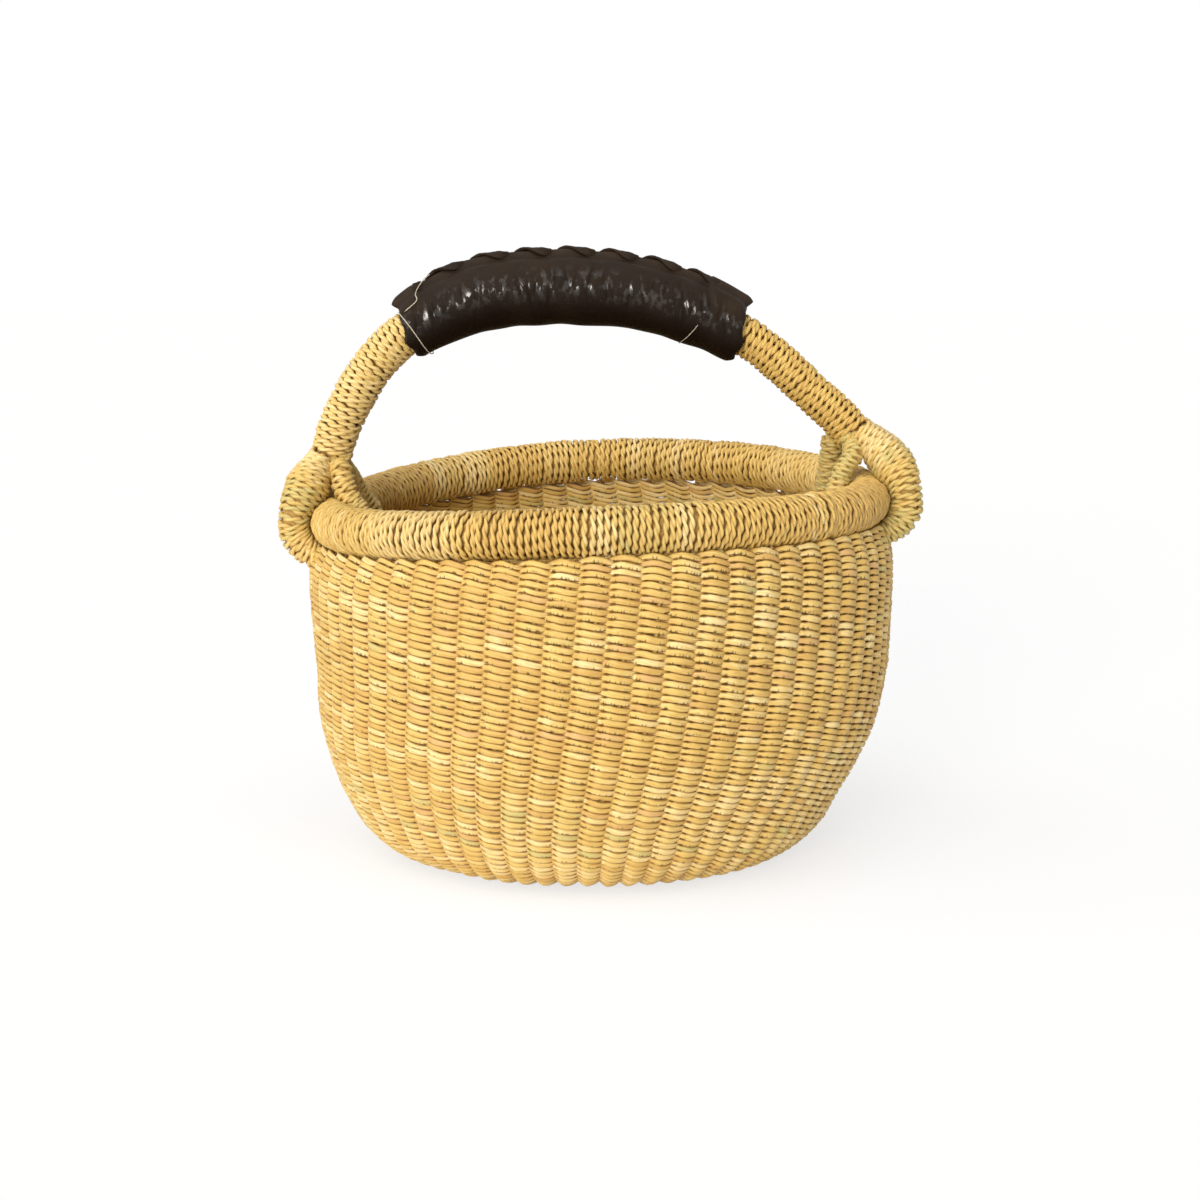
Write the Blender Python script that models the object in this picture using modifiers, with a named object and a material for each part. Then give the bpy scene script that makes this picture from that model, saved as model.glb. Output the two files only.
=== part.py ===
"""A round twined grass basket with a bound rim and one arched handle with a laced leather grip.

Metres, +Z up. The basket stands on z = 0 round its own axis, and the handle arches along X.
"""

import math

import bmesh
import bpy
from mathutils import Vector

# Gap kept between pieces that touch
CLEARANCE = 0.0003
# Distance below which points of one mesh are one point
WELD = 0.00001
SHARP_ANGLE = math.radians(40)

# Body: outside of the weave
BODY_RADIUS = 0.1398
# Edge of the flat underside, as a share of BODY_RADIUS
FLAT_SHARE = 0.572
# Corners of the outside, upwards: shares of BODY_RADIUS and of RIM_HEIGHT
FOOT_SHARES = ((0.698, 0.020),)
WALL_SHARES = ((0.787, 0.085), (0.887, 0.231), (0.962, 0.437), (1.0, 0.838))
BODY_STEPS = 48

# Weave: an outer and an inner layer of weft with the stakes between them
OUTER_WEFT = 0.0021
INNER_WEFT = 0.0019
STAKE_RADIUS = 0.0011
STAKE_PLAY = 0.0004
STAKE_COUNT = 64
STAKE_SIDES = 3
HUB_RADIUS = 0.025
# Between the stakes the outer weft dips, which leaves a rib over each stake
RIB_DEPTH = 0.0013
# The ribs' crests stand back at the top edge, where they pass the rim's binding
RIB_TOP_DEPTH = 0.0004

# Rim: a bundle of bent stake ends, bound with grass
# Radius of the rim's middle line, as a share of BODY_RADIUS
RIM_SHARE = 0.9156
RIM_HEIGHT = 0.16475
RIM_BOUND_RADIUS = 0.0112
RIM_BINDING = 0.0022
# The wall's outside stands this far outside the rim's middle where it enters the binding
WALL_TOP_OFFSET = 0.0069
RIM_ARC_STEPS = 7
# How far the hand-made rim leaves a level circle
RIM_TILT = 0.00525
RIM_SADDLE = 0.0035
RIM_SQUEEZE_SHARE = 0.02

# Loops: two at each end of the handle, round the rim and through the wall
# Turn of each loop from the handle's plane, as a share of the turn from stake to stake
LOOP_TURN_SHARE = 1.5
LOOP_CLEARANCE = 0.0009
LOOP_BINDING = 0.0017
LOOP_SHOULDER_RADIUS = 0.0076
LOOP_LEG_RADIUS = 0.0078
LOOP_END_RADIUS = 0.0040
LOOP_END_OFFSET = 0.0045
LOOP_STRAIGHT = 0.0034
LOOP_SHOULDER_OUT = 0.0150
LOOP_SHOULDER_RISE = 0.0165
LOOP_SHOULDER_SPREAD_SHARE = 0.62
LOOP_INNER_IN = 0.0136
LOOP_INNER_RISE = 0.0120
# Way of a loop round the rim: shares of a full turn below the rim's outer side, and of its thinning there
LOOP_WAY_SHARES = ((-0.042, 0), (0.056, 0), (0.153, 0.5), (0.25, 1), (0.361, 1), (0.472, 1))
LOOP_SPAN_STEPS = 2

# Handle: middle line from the left fork over the grip to the right fork
HANDLE_TOP = 0.2637
LEFT_FORK_OUT = 0.0026
LEFT_FORK_RISE = 0.0298
RIGHT_FORK_OUT = -0.0056
RIGHT_FORK_RISE = 0.0299
# Shares of the way from fork to fork, and of the rise from there to the top
HANDLE_SHARES = (
    (0.0, 0.0),
    (0.022, 0.210),
    (0.080, 0.523),
    (0.158, 0.754),
    (0.280, 0.941),
    (0.443, 1.0),
    (0.598, 0.951),
    (0.729, 0.799),
    (0.827, 0.600),
    (0.929, 0.266),
    (0.974, 0.118),
    (1.0, 0.0),
)
HANDLE_SPAN_STEPS = 8
HANDLE_CORE_RADIUS = 0.0063
HANDLE_CORE_POINTS = 18

# Winding of the two arms
STRAND_DIAMETER = 0.0025
ARM_RADIUS = 0.0100
WINDING_PITCH = 0.0036
TURN_POINTS = 8
MOST_TURNS = 24

# Grip: padding under a laced leather sleeve
GRIP_LENGTH = 0.168
GRIP_MIDDLE_SHARE = 0.497
LEATHER_THICKNESS = 0.0024
# Radius of the leather from its left end to its right end, as shares of GRIP_RADIUS
GRIP_RADIUS = 0.0164
GRIP_RADIUS_SHARES = (0.84, 0.90, 0.97, 1.0, 1.0, 1.0, 0.99, 0.97, 0.95, 0.90, 0.86)
GRIP_POINTS = 17

# Lacing along the top seam, and a thread round each end
THONG_RADIUS = 0.0012
HUMP_PITCH = 0.0185
HUMP_HEIGHT = 0.0009
HUMP_POINTS = 6
THONG_SWAY = 0.0024
THONG_END = 0.0090
THREAD_RADIUS = 0.0005
THREAD_FROM_END = 0.0200
THREAD_POINTS = 11
THREAD_OPEN_SHARE = 0.2

GRASS = (0.60, 0.42, 0.15)
GRASS_INSIDE = (0.50, 0.32, 0.12)
GRASS_CORE = (0.45, 0.34, 0.16)
LEATHER = (0.018, 0.012, 0.009)
THREAD = (0.55, 0.50, 0.38)


def clear_scene():
    for obj in list(bpy.data.objects):
        bpy.data.objects.remove(obj, do_unlink=True)


def new_collection(name):
    made = bpy.data.collections.new(name)
    bpy.context.scene.collection.children.link(made)
    return made


def finish(name, colour, roughness):
    """A plain surface: one Principled BSDF."""
    made = bpy.data.materials.new(name)
    made.use_nodes = True
    shader = made.node_tree.nodes["Principled BSDF"]
    shader.inputs["Base Color"].default_value = (*colour, 1.0)
    shader.inputs["Roughness"].default_value = roughness
    shader.inputs["Metallic"].default_value = 0.0
    return made


def placed(name, data, collection, material):
    obj = bpy.data.objects.new(name, data)
    collection.objects.link(obj)
    if material:
        data.materials.append(material)
    return obj


def to_mesh(obj):
    """The object as an evaluated mesh, its loose caps welded and its faces turned out."""
    graph = bpy.context.evaluated_depsgraph_get()
    mesh = bpy.data.meshes.new_from_object(obj.evaluated_get(graph))
    shape = bmesh.new()
    shape.from_mesh(mesh)
    bmesh.ops.remove_doubles(shape, verts=shape.verts, dist=WELD)
    bmesh.ops.recalc_face_normals(shape, faces=shape.faces)
    shape.to_mesh(mesh)
    shape.free()
    made = bpy.data.objects.new(obj.name, mesh)
    for collection in obj.users_collection:
        collection.objects.link(made)
    made.matrix_world = obj.matrix_world
    name = obj.name
    bpy.data.objects.remove(obj, do_unlink=True)
    made.name = name
    return made


def smooth_shading(obj):
    obj.data.shade_smooth()
    obj.data.set_sharp_from_angle(angle=SHARP_ANGLE)


def boolean(obj, other, operation):
    cut = obj.modifiers.new(f"{operation.lower()} {other.name}", "BOOLEAN")
    cut.operation = operation
    cut.solver = "EXACT"
    cut.object = other


def hide_helper(obj):
    obj.hide_render = True
    obj.display_type = "WIRE"


def smooth_route(points, span_steps):
    """Points on a Catmull-Rom curve through the given (place, radius) pairs."""
    made = []
    last = len(points) - 1
    for i in range(last):
        window = [points[max(i - 1, 0)], points[i], points[i + 1], points[min(i + 2, last)]]
        for step in range(span_steps):
            t = step / span_steps
            weights = (
                0.5 * (-t + 2 * t**2 - t**3),
                0.5 * (2 - 5 * t**2 + 3 * t**3),
                0.5 * (t + 4 * t**2 - 3 * t**3),
                0.5 * (t**3 - t**2),
            )
            place = Vector((0, 0, 0))
            radius = 0
            for weight, (spot, size) in zip(weights, window):
                place += weight * spot
                radius += weight * size
            made.append((place, radius))
    made.append(points[last])
    return made


def tube(name, routes, collection, material, resolution):
    """A curve object with one capped spline for each route of (place, radius) pairs."""
    data = bpy.data.curves.new(name, "CURVE")
    data.dimensions = "3D"
    data.twist_mode = "MINIMUM"
    data.bevel_depth = 1.0
    data.bevel_resolution = resolution
    data.use_fill_caps = True
    for route in routes:
        spline = data.splines.new("POLY")
        spline.points.add(len(route) - 1)
        for point, (place, radius) in zip(spline.points, route):
            point.co = (*place, 1.0)
            point.radius = radius
    return placed(name, data, collection, material)


def grown(route, extra):
    return [(place, radius + extra) for place, radius in route]


def past_ends(route, overrun):
    """The route made longer at both ends, straight on."""
    first = route[0][0] + (route[0][0] - route[1][0]).normalized() * overrun
    last = route[-1][0] + (route[-1][0] - route[-2][0]).normalized() * overrun
    return [(first, route[0][1]), *route[1:-1], (last, route[-1][1])]


def sleeve(name, route, thickness, collections, material, resolutions):
    """A tube along the route with a bore cut through it."""
    parts, helpers = collections
    outer_resolution, bore_resolution = resolutions
    made = to_mesh(tube(name, [route], parts, material, outer_resolution))
    bore_route = past_ends(grown(route, -thickness), thickness)
    bore = to_mesh(tube(f"{name}_bore", [bore_route], helpers, None, bore_resolution))
    hide_helper(bore)
    boolean(made, bore, "DIFFERENCE")
    return made


def turned(name, profile, closed, collection, material):
    """A profile of (radius, height) points, its outer side running down, turned round Z."""
    mesh = bpy.data.meshes.new(name)
    corners = [(radius, 0, height) for radius, height in profile]
    edges = [(i, i + 1) for i in range(len(profile) - 1)]
    if closed:
        edges.append((len(profile) - 1, 0))
    mesh.from_pydata(corners, edges, [])
    obj = placed(name, mesh, collection, material)
    screw = obj.modifiers.new("turned", "SCREW")
    screw.axis = "Z"
    screw.steps = BODY_STEPS
    screw.render_steps = BODY_STEPS
    screw.use_merge_vertices = True
    screw.merge_threshold = WELD
    return to_mesh(obj)


def body_line():
    """Outside of the whole body, from its axis outwards and up into the rim's binding."""
    shares = FOOT_SHARES + WALL_SHARES
    line = [(radius * BODY_RADIUS, height * RIM_HEIGHT) for radius, height in shares]
    top = (rim_radius() + WALL_TOP_OFFSET, RIM_HEIGHT - rim_core_radius() - 2 * CLEARANCE)
    return [Vector(point) for point in ((0, 0), (FLAT_SHARE * BODY_RADIUS, 0), *line, top)]


def headings(line):
    """Mean direction of a line at each of its points."""
    made = []
    for i, here in enumerate(line):
        sides = []
        if i > 0:
            sides.append((here - line[i - 1]).normalized())
        if i < len(line) - 1:
            sides.append((line[i + 1] - here).normalized())
        made.append(sum(sides, Vector((0, 0))).normalized())
    return made


def inset(depth):
    """The body's outside line moved into the wall by a depth."""
    line = body_line()
    made = []
    for i, (here, ahead) in enumerate(zip(line, headings(line))):
        side = (line[i + 1] - here) if i < len(line) - 1 else (here - line[i - 1])
        inward = Vector((-ahead.y, ahead.x))
        made.append(here + inward * depth / ahead.dot(side.normalized()))
    return made


def layer_line(depth, first, last):
    """The body's line at a depth between two corners, half a gap short of the base or the wall."""
    ahead = headings(body_line())
    row = inset(depth)[first : last + 1]
    if first > 0:
        row[0] = row[0] + ahead[first] * CLEARANCE / 2
    else:
        row[-1] = row[-1] - ahead[last] * CLEARANCE / 2
    return row


def band(outer_depth, inner_depth, first, last):
    """The body between two depths and two corners: up its inside and back down its outside."""
    return layer_line(inner_depth, first, last) + list(reversed(layer_line(outer_depth, first, last)))


def rise_share(height):
    """How much of the rim's lean reaches this height: none at the base, all in the rim."""
    return min(1, max(0, height) / (RIM_HEIGHT - RIM_BOUND_RADIUS)) ** 2


def settled(place):
    """Where a point of the level round body lies on the leaning hand-made one."""
    share = rise_share(place.z)
    angle = math.atan2(place.y, place.x)
    lift = RIM_TILT * math.cos(angle) - RIM_SADDLE * math.cos(2 * angle)
    squeezed = place.x * (1 - RIM_SQUEEZE_SHARE * share)
    return Vector((squeezed, place.y, place.z + lift * share))


def settle(obj):
    for vertex in obj.data.vertices:
        vertex.co = settled(vertex.co)


def round_body(radius, angle, height):
    return Vector((radius * math.cos(angle), radius * math.sin(angle), height))


def rim_radius():
    return RIM_SHARE * BODY_RADIUS


def rim_core_radius():
    return RIM_BOUND_RADIUS - RIM_BINDING - CLEARANCE


def stake_depth():
    return OUTER_WEFT + STAKE_PLAY + STAKE_RADIUS


def inner_weft_depth():
    return stake_depth() + STAKE_RADIUS + STAKE_PLAY


def wall_depth():
    return inner_weft_depth() + INNER_WEFT


def foot_corner():
    """Which corner of the body's line parts the base from the wall."""
    return len(FOOT_SHARES) + 1


def make_base(parts, materials):
    for name, outer, inner, material in (
        ("base_underside_weave", 0, OUTER_WEFT, materials["grass"]),
        ("base_inside_weave", inner_weft_depth(), wall_depth(), materials["inside"]),
    ):
        profile = band(outer, inner, 0, foot_corner())
        obj = turned(name, profile, False, parts, material)
        settle(obj)
        smooth_shading(obj)


def ribbed_band(name, inner, crest, valley, collection, material):
    """A ring with a smooth inside and, outside, a crest over each stake and a valley between."""
    rows = len(inner)
    corners = []
    for stake in range(STAKE_COUNT):
        for line, turn in ((inner, stake), (crest, stake), (valley, stake + 0.5)):
            angle = math.tau * turn / STAKE_COUNT
            corners.extend(round_body(radius, angle, height) for radius, height in line)
    faces = []
    top = rows - 1
    for stake in range(STAKE_COUNT):
        here = 3 * rows * stake
        there = 3 * rows * ((stake + 1) % STAKE_COUNT)
        inside, over, between = here, here + rows, here + 2 * rows
        next_inside, next_over = there, there + rows
        for row in range(top):
            up = row + 1
            faces.append((inside + row, inside + up, next_inside + up, next_inside + row))
            faces.append((over + row, between + row, between + up, over + up))
            faces.append((between + row, next_over + row, next_over + up, between + up))
        for edge, order in ((top, 1), (0, -1)):
            faces.append((inside + edge, over + edge, between + edge)[::order])
            faces.append((inside + edge, between + edge, next_inside + edge)[::order])
            faces.append((next_inside + edge, between + edge, next_over + edge)[::order])
    mesh = bpy.data.meshes.new(name)
    mesh.from_pydata(corners, [], faces)
    return placed(name, mesh, collection, material)


def make_wall(parts, materials):
    first, last = foot_corner(), len(body_line()) - 1
    inner, crest, valley = (layer_line(depth, first, last) for depth in (OUTER_WEFT, 0, RIB_DEPTH))
    crest[-1] = layer_line(RIB_TOP_DEPTH, first, last)[-1]
    outer_wall = ribbed_band("wall_outer_weave", inner, crest, valley, parts, materials["grass"])
    profile = band(inner_weft_depth(), wall_depth(), first, last)
    inner_wall = turned("wall_inner_weave", profile, True, parts, materials["inside"])
    walls = [outer_wall, inner_wall]
    for wall in walls:
        settle(wall)
        smooth_shading(wall)
    return walls


def make_stakes(parts, helpers, material):
    """Rods that run out from the hub, turn up at the foot and end under the rim's core."""
    start_height = stake_depth()
    path = [(HUB_RADIUS - STAKE_RADIUS, start_height)] + inset(start_height)[1:]
    routes = []
    for number in range(STAKE_COUNT):
        angle = math.tau * number / STAKE_COUNT
        routes.append([(settled(round_body(r, angle, z)), 1.0) for r, z in path])
    section = bpy.data.curves.new("stake_section", "CURVE")
    section.dimensions = "2D"
    outline = section.splines.new("POLY")
    outline.points.add(STAKE_SIDES - 1)
    outline.use_cyclic_u = True
    for corner, point in enumerate(outline.points):
        turn = math.tau * corner / STAKE_SIDES
        point.co = (STAKE_RADIUS * math.cos(turn), STAKE_RADIUS * math.sin(turn), 0, 1)
    section_object = placed("stake_section", section, helpers, None)
    hide_helper(section_object)
    rods = tube("stakes", routes, parts, material, 0)
    rods.data.bevel_mode = "OBJECT"
    rods.data.bevel_object = section_object
    stakes = to_mesh(rods)
    hub_mesh = bpy.data.meshes.new("stake_hub")
    shape = bmesh.new()
    bmesh.ops.create_cone(
        shape,
        cap_ends=True,
        segments=STAKE_COUNT,
        radius1=HUB_RADIUS,
        radius2=HUB_RADIUS,
        depth=2 * (STAKE_RADIUS + STAKE_PLAY - CLEARANCE),
    )
    shape.to_mesh(hub_mesh)
    shape.free()
    hub = placed("stake_hub", hub_mesh, helpers, material)
    hub.location = (0, 0, start_height)
    hub.rotation_euler = (0, 0, math.pi / STAKE_COUNT)
    hide_helper(hub)
    boolean(stakes, hub, "UNION")
    return stakes


def rim_arc(radius):
    """Points round the rim's middle, from the wall slot's inner edge over the top to its outer edge."""
    slot_outer = WALL_TOP_OFFSET + CLEARANCE
    slot_inner = WALL_TOP_OFFSET - wall_depth() - 2 * CLEARANCE
    first = math.tau - math.acos(max(slot_inner / RIM_BOUND_RADIUS, -1))
    last = -math.acos(slot_outer / RIM_BOUND_RADIUS)
    arc = []
    for step in range(RIM_ARC_STEPS + 1):
        turn = first + (last - first) * step / RIM_ARC_STEPS
        arc.append((rim_radius() + radius * math.cos(turn), RIM_HEIGHT + radius * math.sin(turn)))
    return arc


def make_rim(parts, materials):
    """The core ring, and the binding round it, open below where the wall enters."""
    outside = rim_arc(RIM_BOUND_RADIUS)
    inside = rim_arc(RIM_BOUND_RADIUS - RIM_BINDING)
    for name, profile, material in (
        ("rim_core", rim_arc(rim_core_radius()), materials["core"]),
        ("rim_binding", outside + list(reversed(inside)), materials["grass"]),
    ):
        obj = turned(name, profile, True, parts, material)
        settle(obj)
        smooth_shading(obj)


def rim_middle(angle):
    return settled(round_body(rim_radius(), angle, RIM_HEIGHT))


def fork(side):
    """The end of the handle's middle line above the rim, on the left (-1) or right (+1)."""
    out, rise = (LEFT_FORK_OUT, LEFT_FORK_RISE) if side < 0 else (RIGHT_FORK_OUT, RIGHT_FORK_RISE)
    end_angle = math.pi if side < 0 else 0
    spread = LOOP_TURN_SHARE * math.tau / STAKE_COUNT
    rim = rim_middle(end_angle + spread)
    return Vector((rim.x + side * out, 0, rim.z + rise))


def handle_route():
    """Closely spaced points on the handle's middle line, from left to right."""
    left = fork(-1)
    right = fork(1)
    points = []
    for way, rise in HANDLE_SHARES:
        level = left.lerp(right, way)
        level.z += rise * (HANDLE_TOP - level.z)
        points.append((level, 0))
    return [place for place, _ in smooth_route(points, HANDLE_SPAN_STEPS)]


class Path:
    """A line of points that can be read at a distance along it."""

    def __init__(self, points):
        self.points = points
        self.distances = [0]
        for before, after in zip(points, points[1:]):
            self.distances.append(self.distances[-1] + (after - before).length)
        self.length = self.distances[-1]

    def place(self, distance):
        for i in range(len(self.points) - 1):
            start, end = self.distances[i], self.distances[i + 1]
            if distance <= end or i == len(self.points) - 2:
                return self.points[i].lerp(self.points[i + 1], (distance - start) / (end - start))

    def heading(self, distance):
        """Unit tangent, read over one strand's width so that it turns evenly."""
        low = max(distance - STRAND_DIAMETER, 0)
        high = min(distance + STRAND_DIAMETER, self.length)
        return (self.place(high) - self.place(low)).normalized()

    def around(self, distance, turn, radius):
        """The point at a radius from the line, turned from its upper side towards +Y."""
        ahead = self.heading(distance)
        upper = Vector((-ahead.z, 0, ahead.x))
        side = Vector((0, 1, 0))
        return self.place(distance) + radius * (math.cos(turn) * upper + math.sin(turn) * side)


def make_handle_core(handle, parts, material):
    steps = [handle.length * step / HANDLE_CORE_POINTS for step in range(1, HANDLE_CORE_POINTS)]
    distances = [0, STRAND_DIAMETER, *steps, handle.length - STRAND_DIAMETER, handle.length]
    route = [(handle.place(distance), HANDLE_CORE_RADIUS) for distance in distances]
    return to_mesh(tube("handle_core", [route], parts, material, 2))


def least_gap(points):
    """Clear distance of a winding to itself, between places half a turn or more apart."""
    apart = TURN_POINTS // 2
    closest = min(
        (points[i] - points[j]).length for i in range(len(points)) for j in range(i + apart, len(points))
    )
    return closest - STRAND_DIAMETER


def make_winding(name, handle, start, end, parts, material):
    """One unbroken strand wound round an arm, its ends straight along the arm."""
    lead = STRAND_DIAMETER
    first = start + lead
    turns = min(MOST_TURNS, int((end - lead - first) / WINDING_PITCH))
    reach = ARM_RADIUS - STRAND_DIAMETER / 2
    count = turns * TURN_POINTS
    points = []
    for step in range(count + 1):
        distance = first + (end - lead - first) * step / count
        points.append(handle.around(distance, math.tau * step / TURN_POINTS, reach))
    print(f"{name}: {turns} turns, least gap to itself {1000 * least_gap(points):.2f} mm")
    points.insert(0, handle.around(start, 0, reach))
    points.append(handle.around(end, math.tau * count / TURN_POINTS, reach))
    return tube(name, [[(place, STRAND_DIAMETER / 2) for place in points]], parts, material, 1)


def loop_under_radius():
    """Radius of a loop's thin leg, which goes through the wall between two stakes."""
    return math.pi * rim_radius() / STAKE_COUNT - STAKE_RADIUS - CLEARANCE


def loop_route(handle, side, row):
    """Points of one loop from the fork over the rim's outside, under it and back up inside."""
    fork_place = fork(side)
    inward = handle.heading(handle.length if side > 0 else 0)
    down = inward if side > 0 else -inward
    out = Vector((-down.z, 0, down.x)) * side
    spread = LOOP_TURN_SHARE * math.tau / STAKE_COUNT * row * side
    middle = rim_middle((0 if side > 0 else math.pi) + spread)
    outward = Vector((side, 0, 0))
    up = Vector((0, 0, 1))
    across = Vector((0, 1, 0)) * row
    reach = RIM_BOUND_RADIUS + LOOP_CLEARANCE
    thin = loop_under_radius()

    def at_fork(share, distance):
        start = fork_place + down * (CLEARANCE + distance)
        place = start + share * LOOP_END_OFFSET * out + across * LOOP_END_OFFSET
        return (place, LOOP_END_RADIUS)

    def round_rim(way, thinning):
        turn = math.tau * way
        radius = LOOP_LEG_RADIUS + (thin - LOOP_LEG_RADIUS) * thinning
        away = reach + radius
        return (middle + away * (math.cos(turn) * outward - math.sin(turn) * up), radius)

    shoulder = middle + LOOP_SHOULDER_OUT * outward + LOOP_SHOULDER_RISE * up
    inner = middle - LOOP_INNER_IN * outward + LOOP_INNER_RISE * up
    for place in (shoulder, inner):
        place.y = middle.y * LOOP_SHOULDER_SPREAD_SHARE
    points = [
        at_fork(1, 0),
        at_fork(1, LOOP_STRAIGHT),
        (shoulder, LOOP_SHOULDER_RADIUS),
        *(round_rim(way, thinning) for way, thinning in LOOP_WAY_SHARES),
        (inner, thin),
        at_fork(-1, LOOP_STRAIGHT),
        at_fork(-1, 0),
    ]
    route = smooth_route(points, LOOP_SPAN_STEPS)
    return [route[0], *route[LOOP_SPAN_STEPS:-LOOP_SPAN_STEPS], route[-1]]


def make_loops(handle, parts, helpers, materials, pierced):
    """Bound loops, and the passages that they need through the wall."""
    for side, side_name in ((-1, "left"), (1, "right")):
        for row, row_name in ((-1, "front"), (1, "rear")):
            name = f"{side_name}_{row_name}_loop"
            route = loop_route(handle, side, row)
            holders = (parts, helpers)
            binding = sleeve(f"{name}_binding", route, LOOP_BINDING, holders, materials["grass"], (2, 1))
            smooth_shading(binding)
            core_route = grown(route, -LOOP_BINDING - CLEARANCE)
            to_mesh(tube(f"{name}_core", [core_route], parts, materials["core"], 1))
            passage = tube(f"{name}_passage", [grown(route, CLEARANCE)], helpers, None, 2)
            passage = to_mesh(passage)
            hide_helper(passage)
            for obj in pierced:
                boolean(obj, passage, "DIFFERENCE")


def grip_radius(share):
    """Radius of the leather at a share of the way along it."""
    place = share * (len(GRIP_RADIUS_SHARES) - 1)
    before = min(int(place), len(GRIP_RADIUS_SHARES) - 2)
    part = place - before
    low, high = GRIP_RADIUS_SHARES[before : before + 2]
    return GRIP_RADIUS * (low + (high - low) * part)


def grip_start(handle):
    return handle.length * GRIP_MIDDLE_SHARE - GRIP_LENGTH / 2


def grip_mouth():
    """How far the leather reaches past the padding at each end."""
    return GRIP_LENGTH / (GRIP_POINTS - 1)


def make_grip(handle, parts, helpers, materials):
    """Padding round the core, and the leather over it, which reaches past it at each end."""
    start = grip_start(handle)
    route = []
    for step in range(GRIP_POINTS):
        share = step / (GRIP_POINTS - 1)
        place = handle.place(start + GRIP_LENGTH * share)
        route.append((place, grip_radius(share)))
    leather = sleeve("grip_leather", route, LEATHER_THICKNESS, (parts, helpers), materials["leather"], (4, 4))
    smooth_shading(leather)

    fill = grown(route[1:-1], -LEATHER_THICKNESS - 2 * CLEARANCE)
    padding = to_mesh(tube("grip_padding", [fill], parts, materials["core"], 3))
    bore_route = [(place, HANDLE_CORE_RADIUS + 2 * CLEARANCE) for place, _ in route]
    bore = to_mesh(tube("grip_padding_bore", [bore_route], helpers, None, 2))
    hide_helper(bore)
    boolean(padding, bore, "DIFFERENCE")


def make_lacing(handle, parts, material):
    """A thong along the top seam, which sways across it and rises in humps."""
    start = grip_start(handle)
    usable = GRIP_LENGTH - 2 * THONG_END
    humps = int(usable / HUMP_PITCH)
    count = humps * HUMP_POINTS
    route = []
    for step in range(count + 1):
        distance = THONG_END + usable * step / count
        phase = math.tau * step / HUMP_POINTS
        surface = grip_radius(distance / GRIP_LENGTH) + CLEARANCE + THONG_RADIUS
        lifted = surface + HUMP_HEIGHT * (1 - math.cos(phase)) / 2
        turn = THONG_SWAY / surface * math.sin(phase)
        route.append((handle.around(start + distance, turn, lifted), THONG_RADIUS))
    return tube("grip_lacing", [route], parts, material, 0)


def make_threads(handle, parts, material):
    """A stitching thread round the leather near each end, open below."""
    start = grip_start(handle)
    for name, distance in (
        ("left_grip_thread", THREAD_FROM_END),
        ("right_grip_thread", GRIP_LENGTH - THREAD_FROM_END),
    ):
        reach = grip_radius(distance / GRIP_LENGTH) + 2 * CLEARANCE + THREAD_RADIUS
        open_turn = math.pi * THREAD_OPEN_SHARE
        begin = math.asin((THONG_SWAY + THONG_RADIUS + THREAD_RADIUS + CLEARANCE) / reach)
        route = []
        for step in range(THREAD_POINTS):
            turn = begin + (math.tau - open_turn - 2 * begin) * step / (THREAD_POINTS - 1)
            route.append((handle.around(start + distance, turn, reach), THREAD_RADIUS))
        tube(name, [route], parts, material, 0)


def main():
    clear_scene()
    parts = new_collection("bolga_basket")
    helpers = new_collection("cutters")
    materials = {
        "grass": finish("twined grass", GRASS, 0.6),
        "inside": finish("grass inside", GRASS_INSIDE, 0.7),
        "core": finish("grass bundle", GRASS_CORE, 0.8),
        "leather": finish("dark leather", LEATHER, 0.4),
        "thread": finish("pale thread", THREAD, 0.8),
    }
    make_base(parts, materials)
    walls = make_wall(parts, materials)
    stakes = make_stakes(parts, helpers, materials["core"])
    make_rim(parts, materials)

    handle = Path(handle_route())
    make_handle_core(handle, parts, materials["core"])
    mouth = grip_mouth() - CLEARANCE
    left_end = grip_start(handle) + mouth
    right_end = grip_start(handle) + GRIP_LENGTH - mouth
    last = handle.length - CLEARANCE
    make_winding("left_arm_winding", handle, CLEARANCE, left_end, parts, materials["grass"])
    make_winding("right_arm_winding", handle, right_end, last, parts, materials["grass"])
    make_loops(handle, parts, helpers, materials, walls + [stakes])
    make_grip(handle, parts, helpers, materials)
    make_lacing(handle, parts, materials["leather"])
    make_threads(handle, parts, materials["thread"])


if __name__ == "__main__":
    main()
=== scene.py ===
"""Looks of a round twined grass basket with a bound rim and one arched handle with a leather grip.

Metres, +Z up. The handle arches along X, and -Y faces the camera.
"""

import math

import bpy
import numpy as np
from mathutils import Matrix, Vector


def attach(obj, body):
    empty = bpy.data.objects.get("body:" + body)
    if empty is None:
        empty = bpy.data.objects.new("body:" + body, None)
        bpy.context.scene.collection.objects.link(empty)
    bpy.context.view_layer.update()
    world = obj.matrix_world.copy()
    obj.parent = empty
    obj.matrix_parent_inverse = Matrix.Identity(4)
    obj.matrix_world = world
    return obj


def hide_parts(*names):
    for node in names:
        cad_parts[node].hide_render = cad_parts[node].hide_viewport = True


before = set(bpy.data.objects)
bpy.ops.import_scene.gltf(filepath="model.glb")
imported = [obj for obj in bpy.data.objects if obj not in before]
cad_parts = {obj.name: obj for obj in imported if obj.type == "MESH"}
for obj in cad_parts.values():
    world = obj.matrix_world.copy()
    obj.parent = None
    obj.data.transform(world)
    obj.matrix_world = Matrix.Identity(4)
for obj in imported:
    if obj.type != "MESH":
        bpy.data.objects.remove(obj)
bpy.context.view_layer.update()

bl_info = {
    "name": "Twined Grass Basket",
    "version": (1, 0, 0),
    "blender": (4, 5, 0),
    "location": "3D View > Sidebar > Basket",
    "description": "Weave, bindings, leather grip and finishes of a round grass basket",
    "category": "Object",
}

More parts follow.
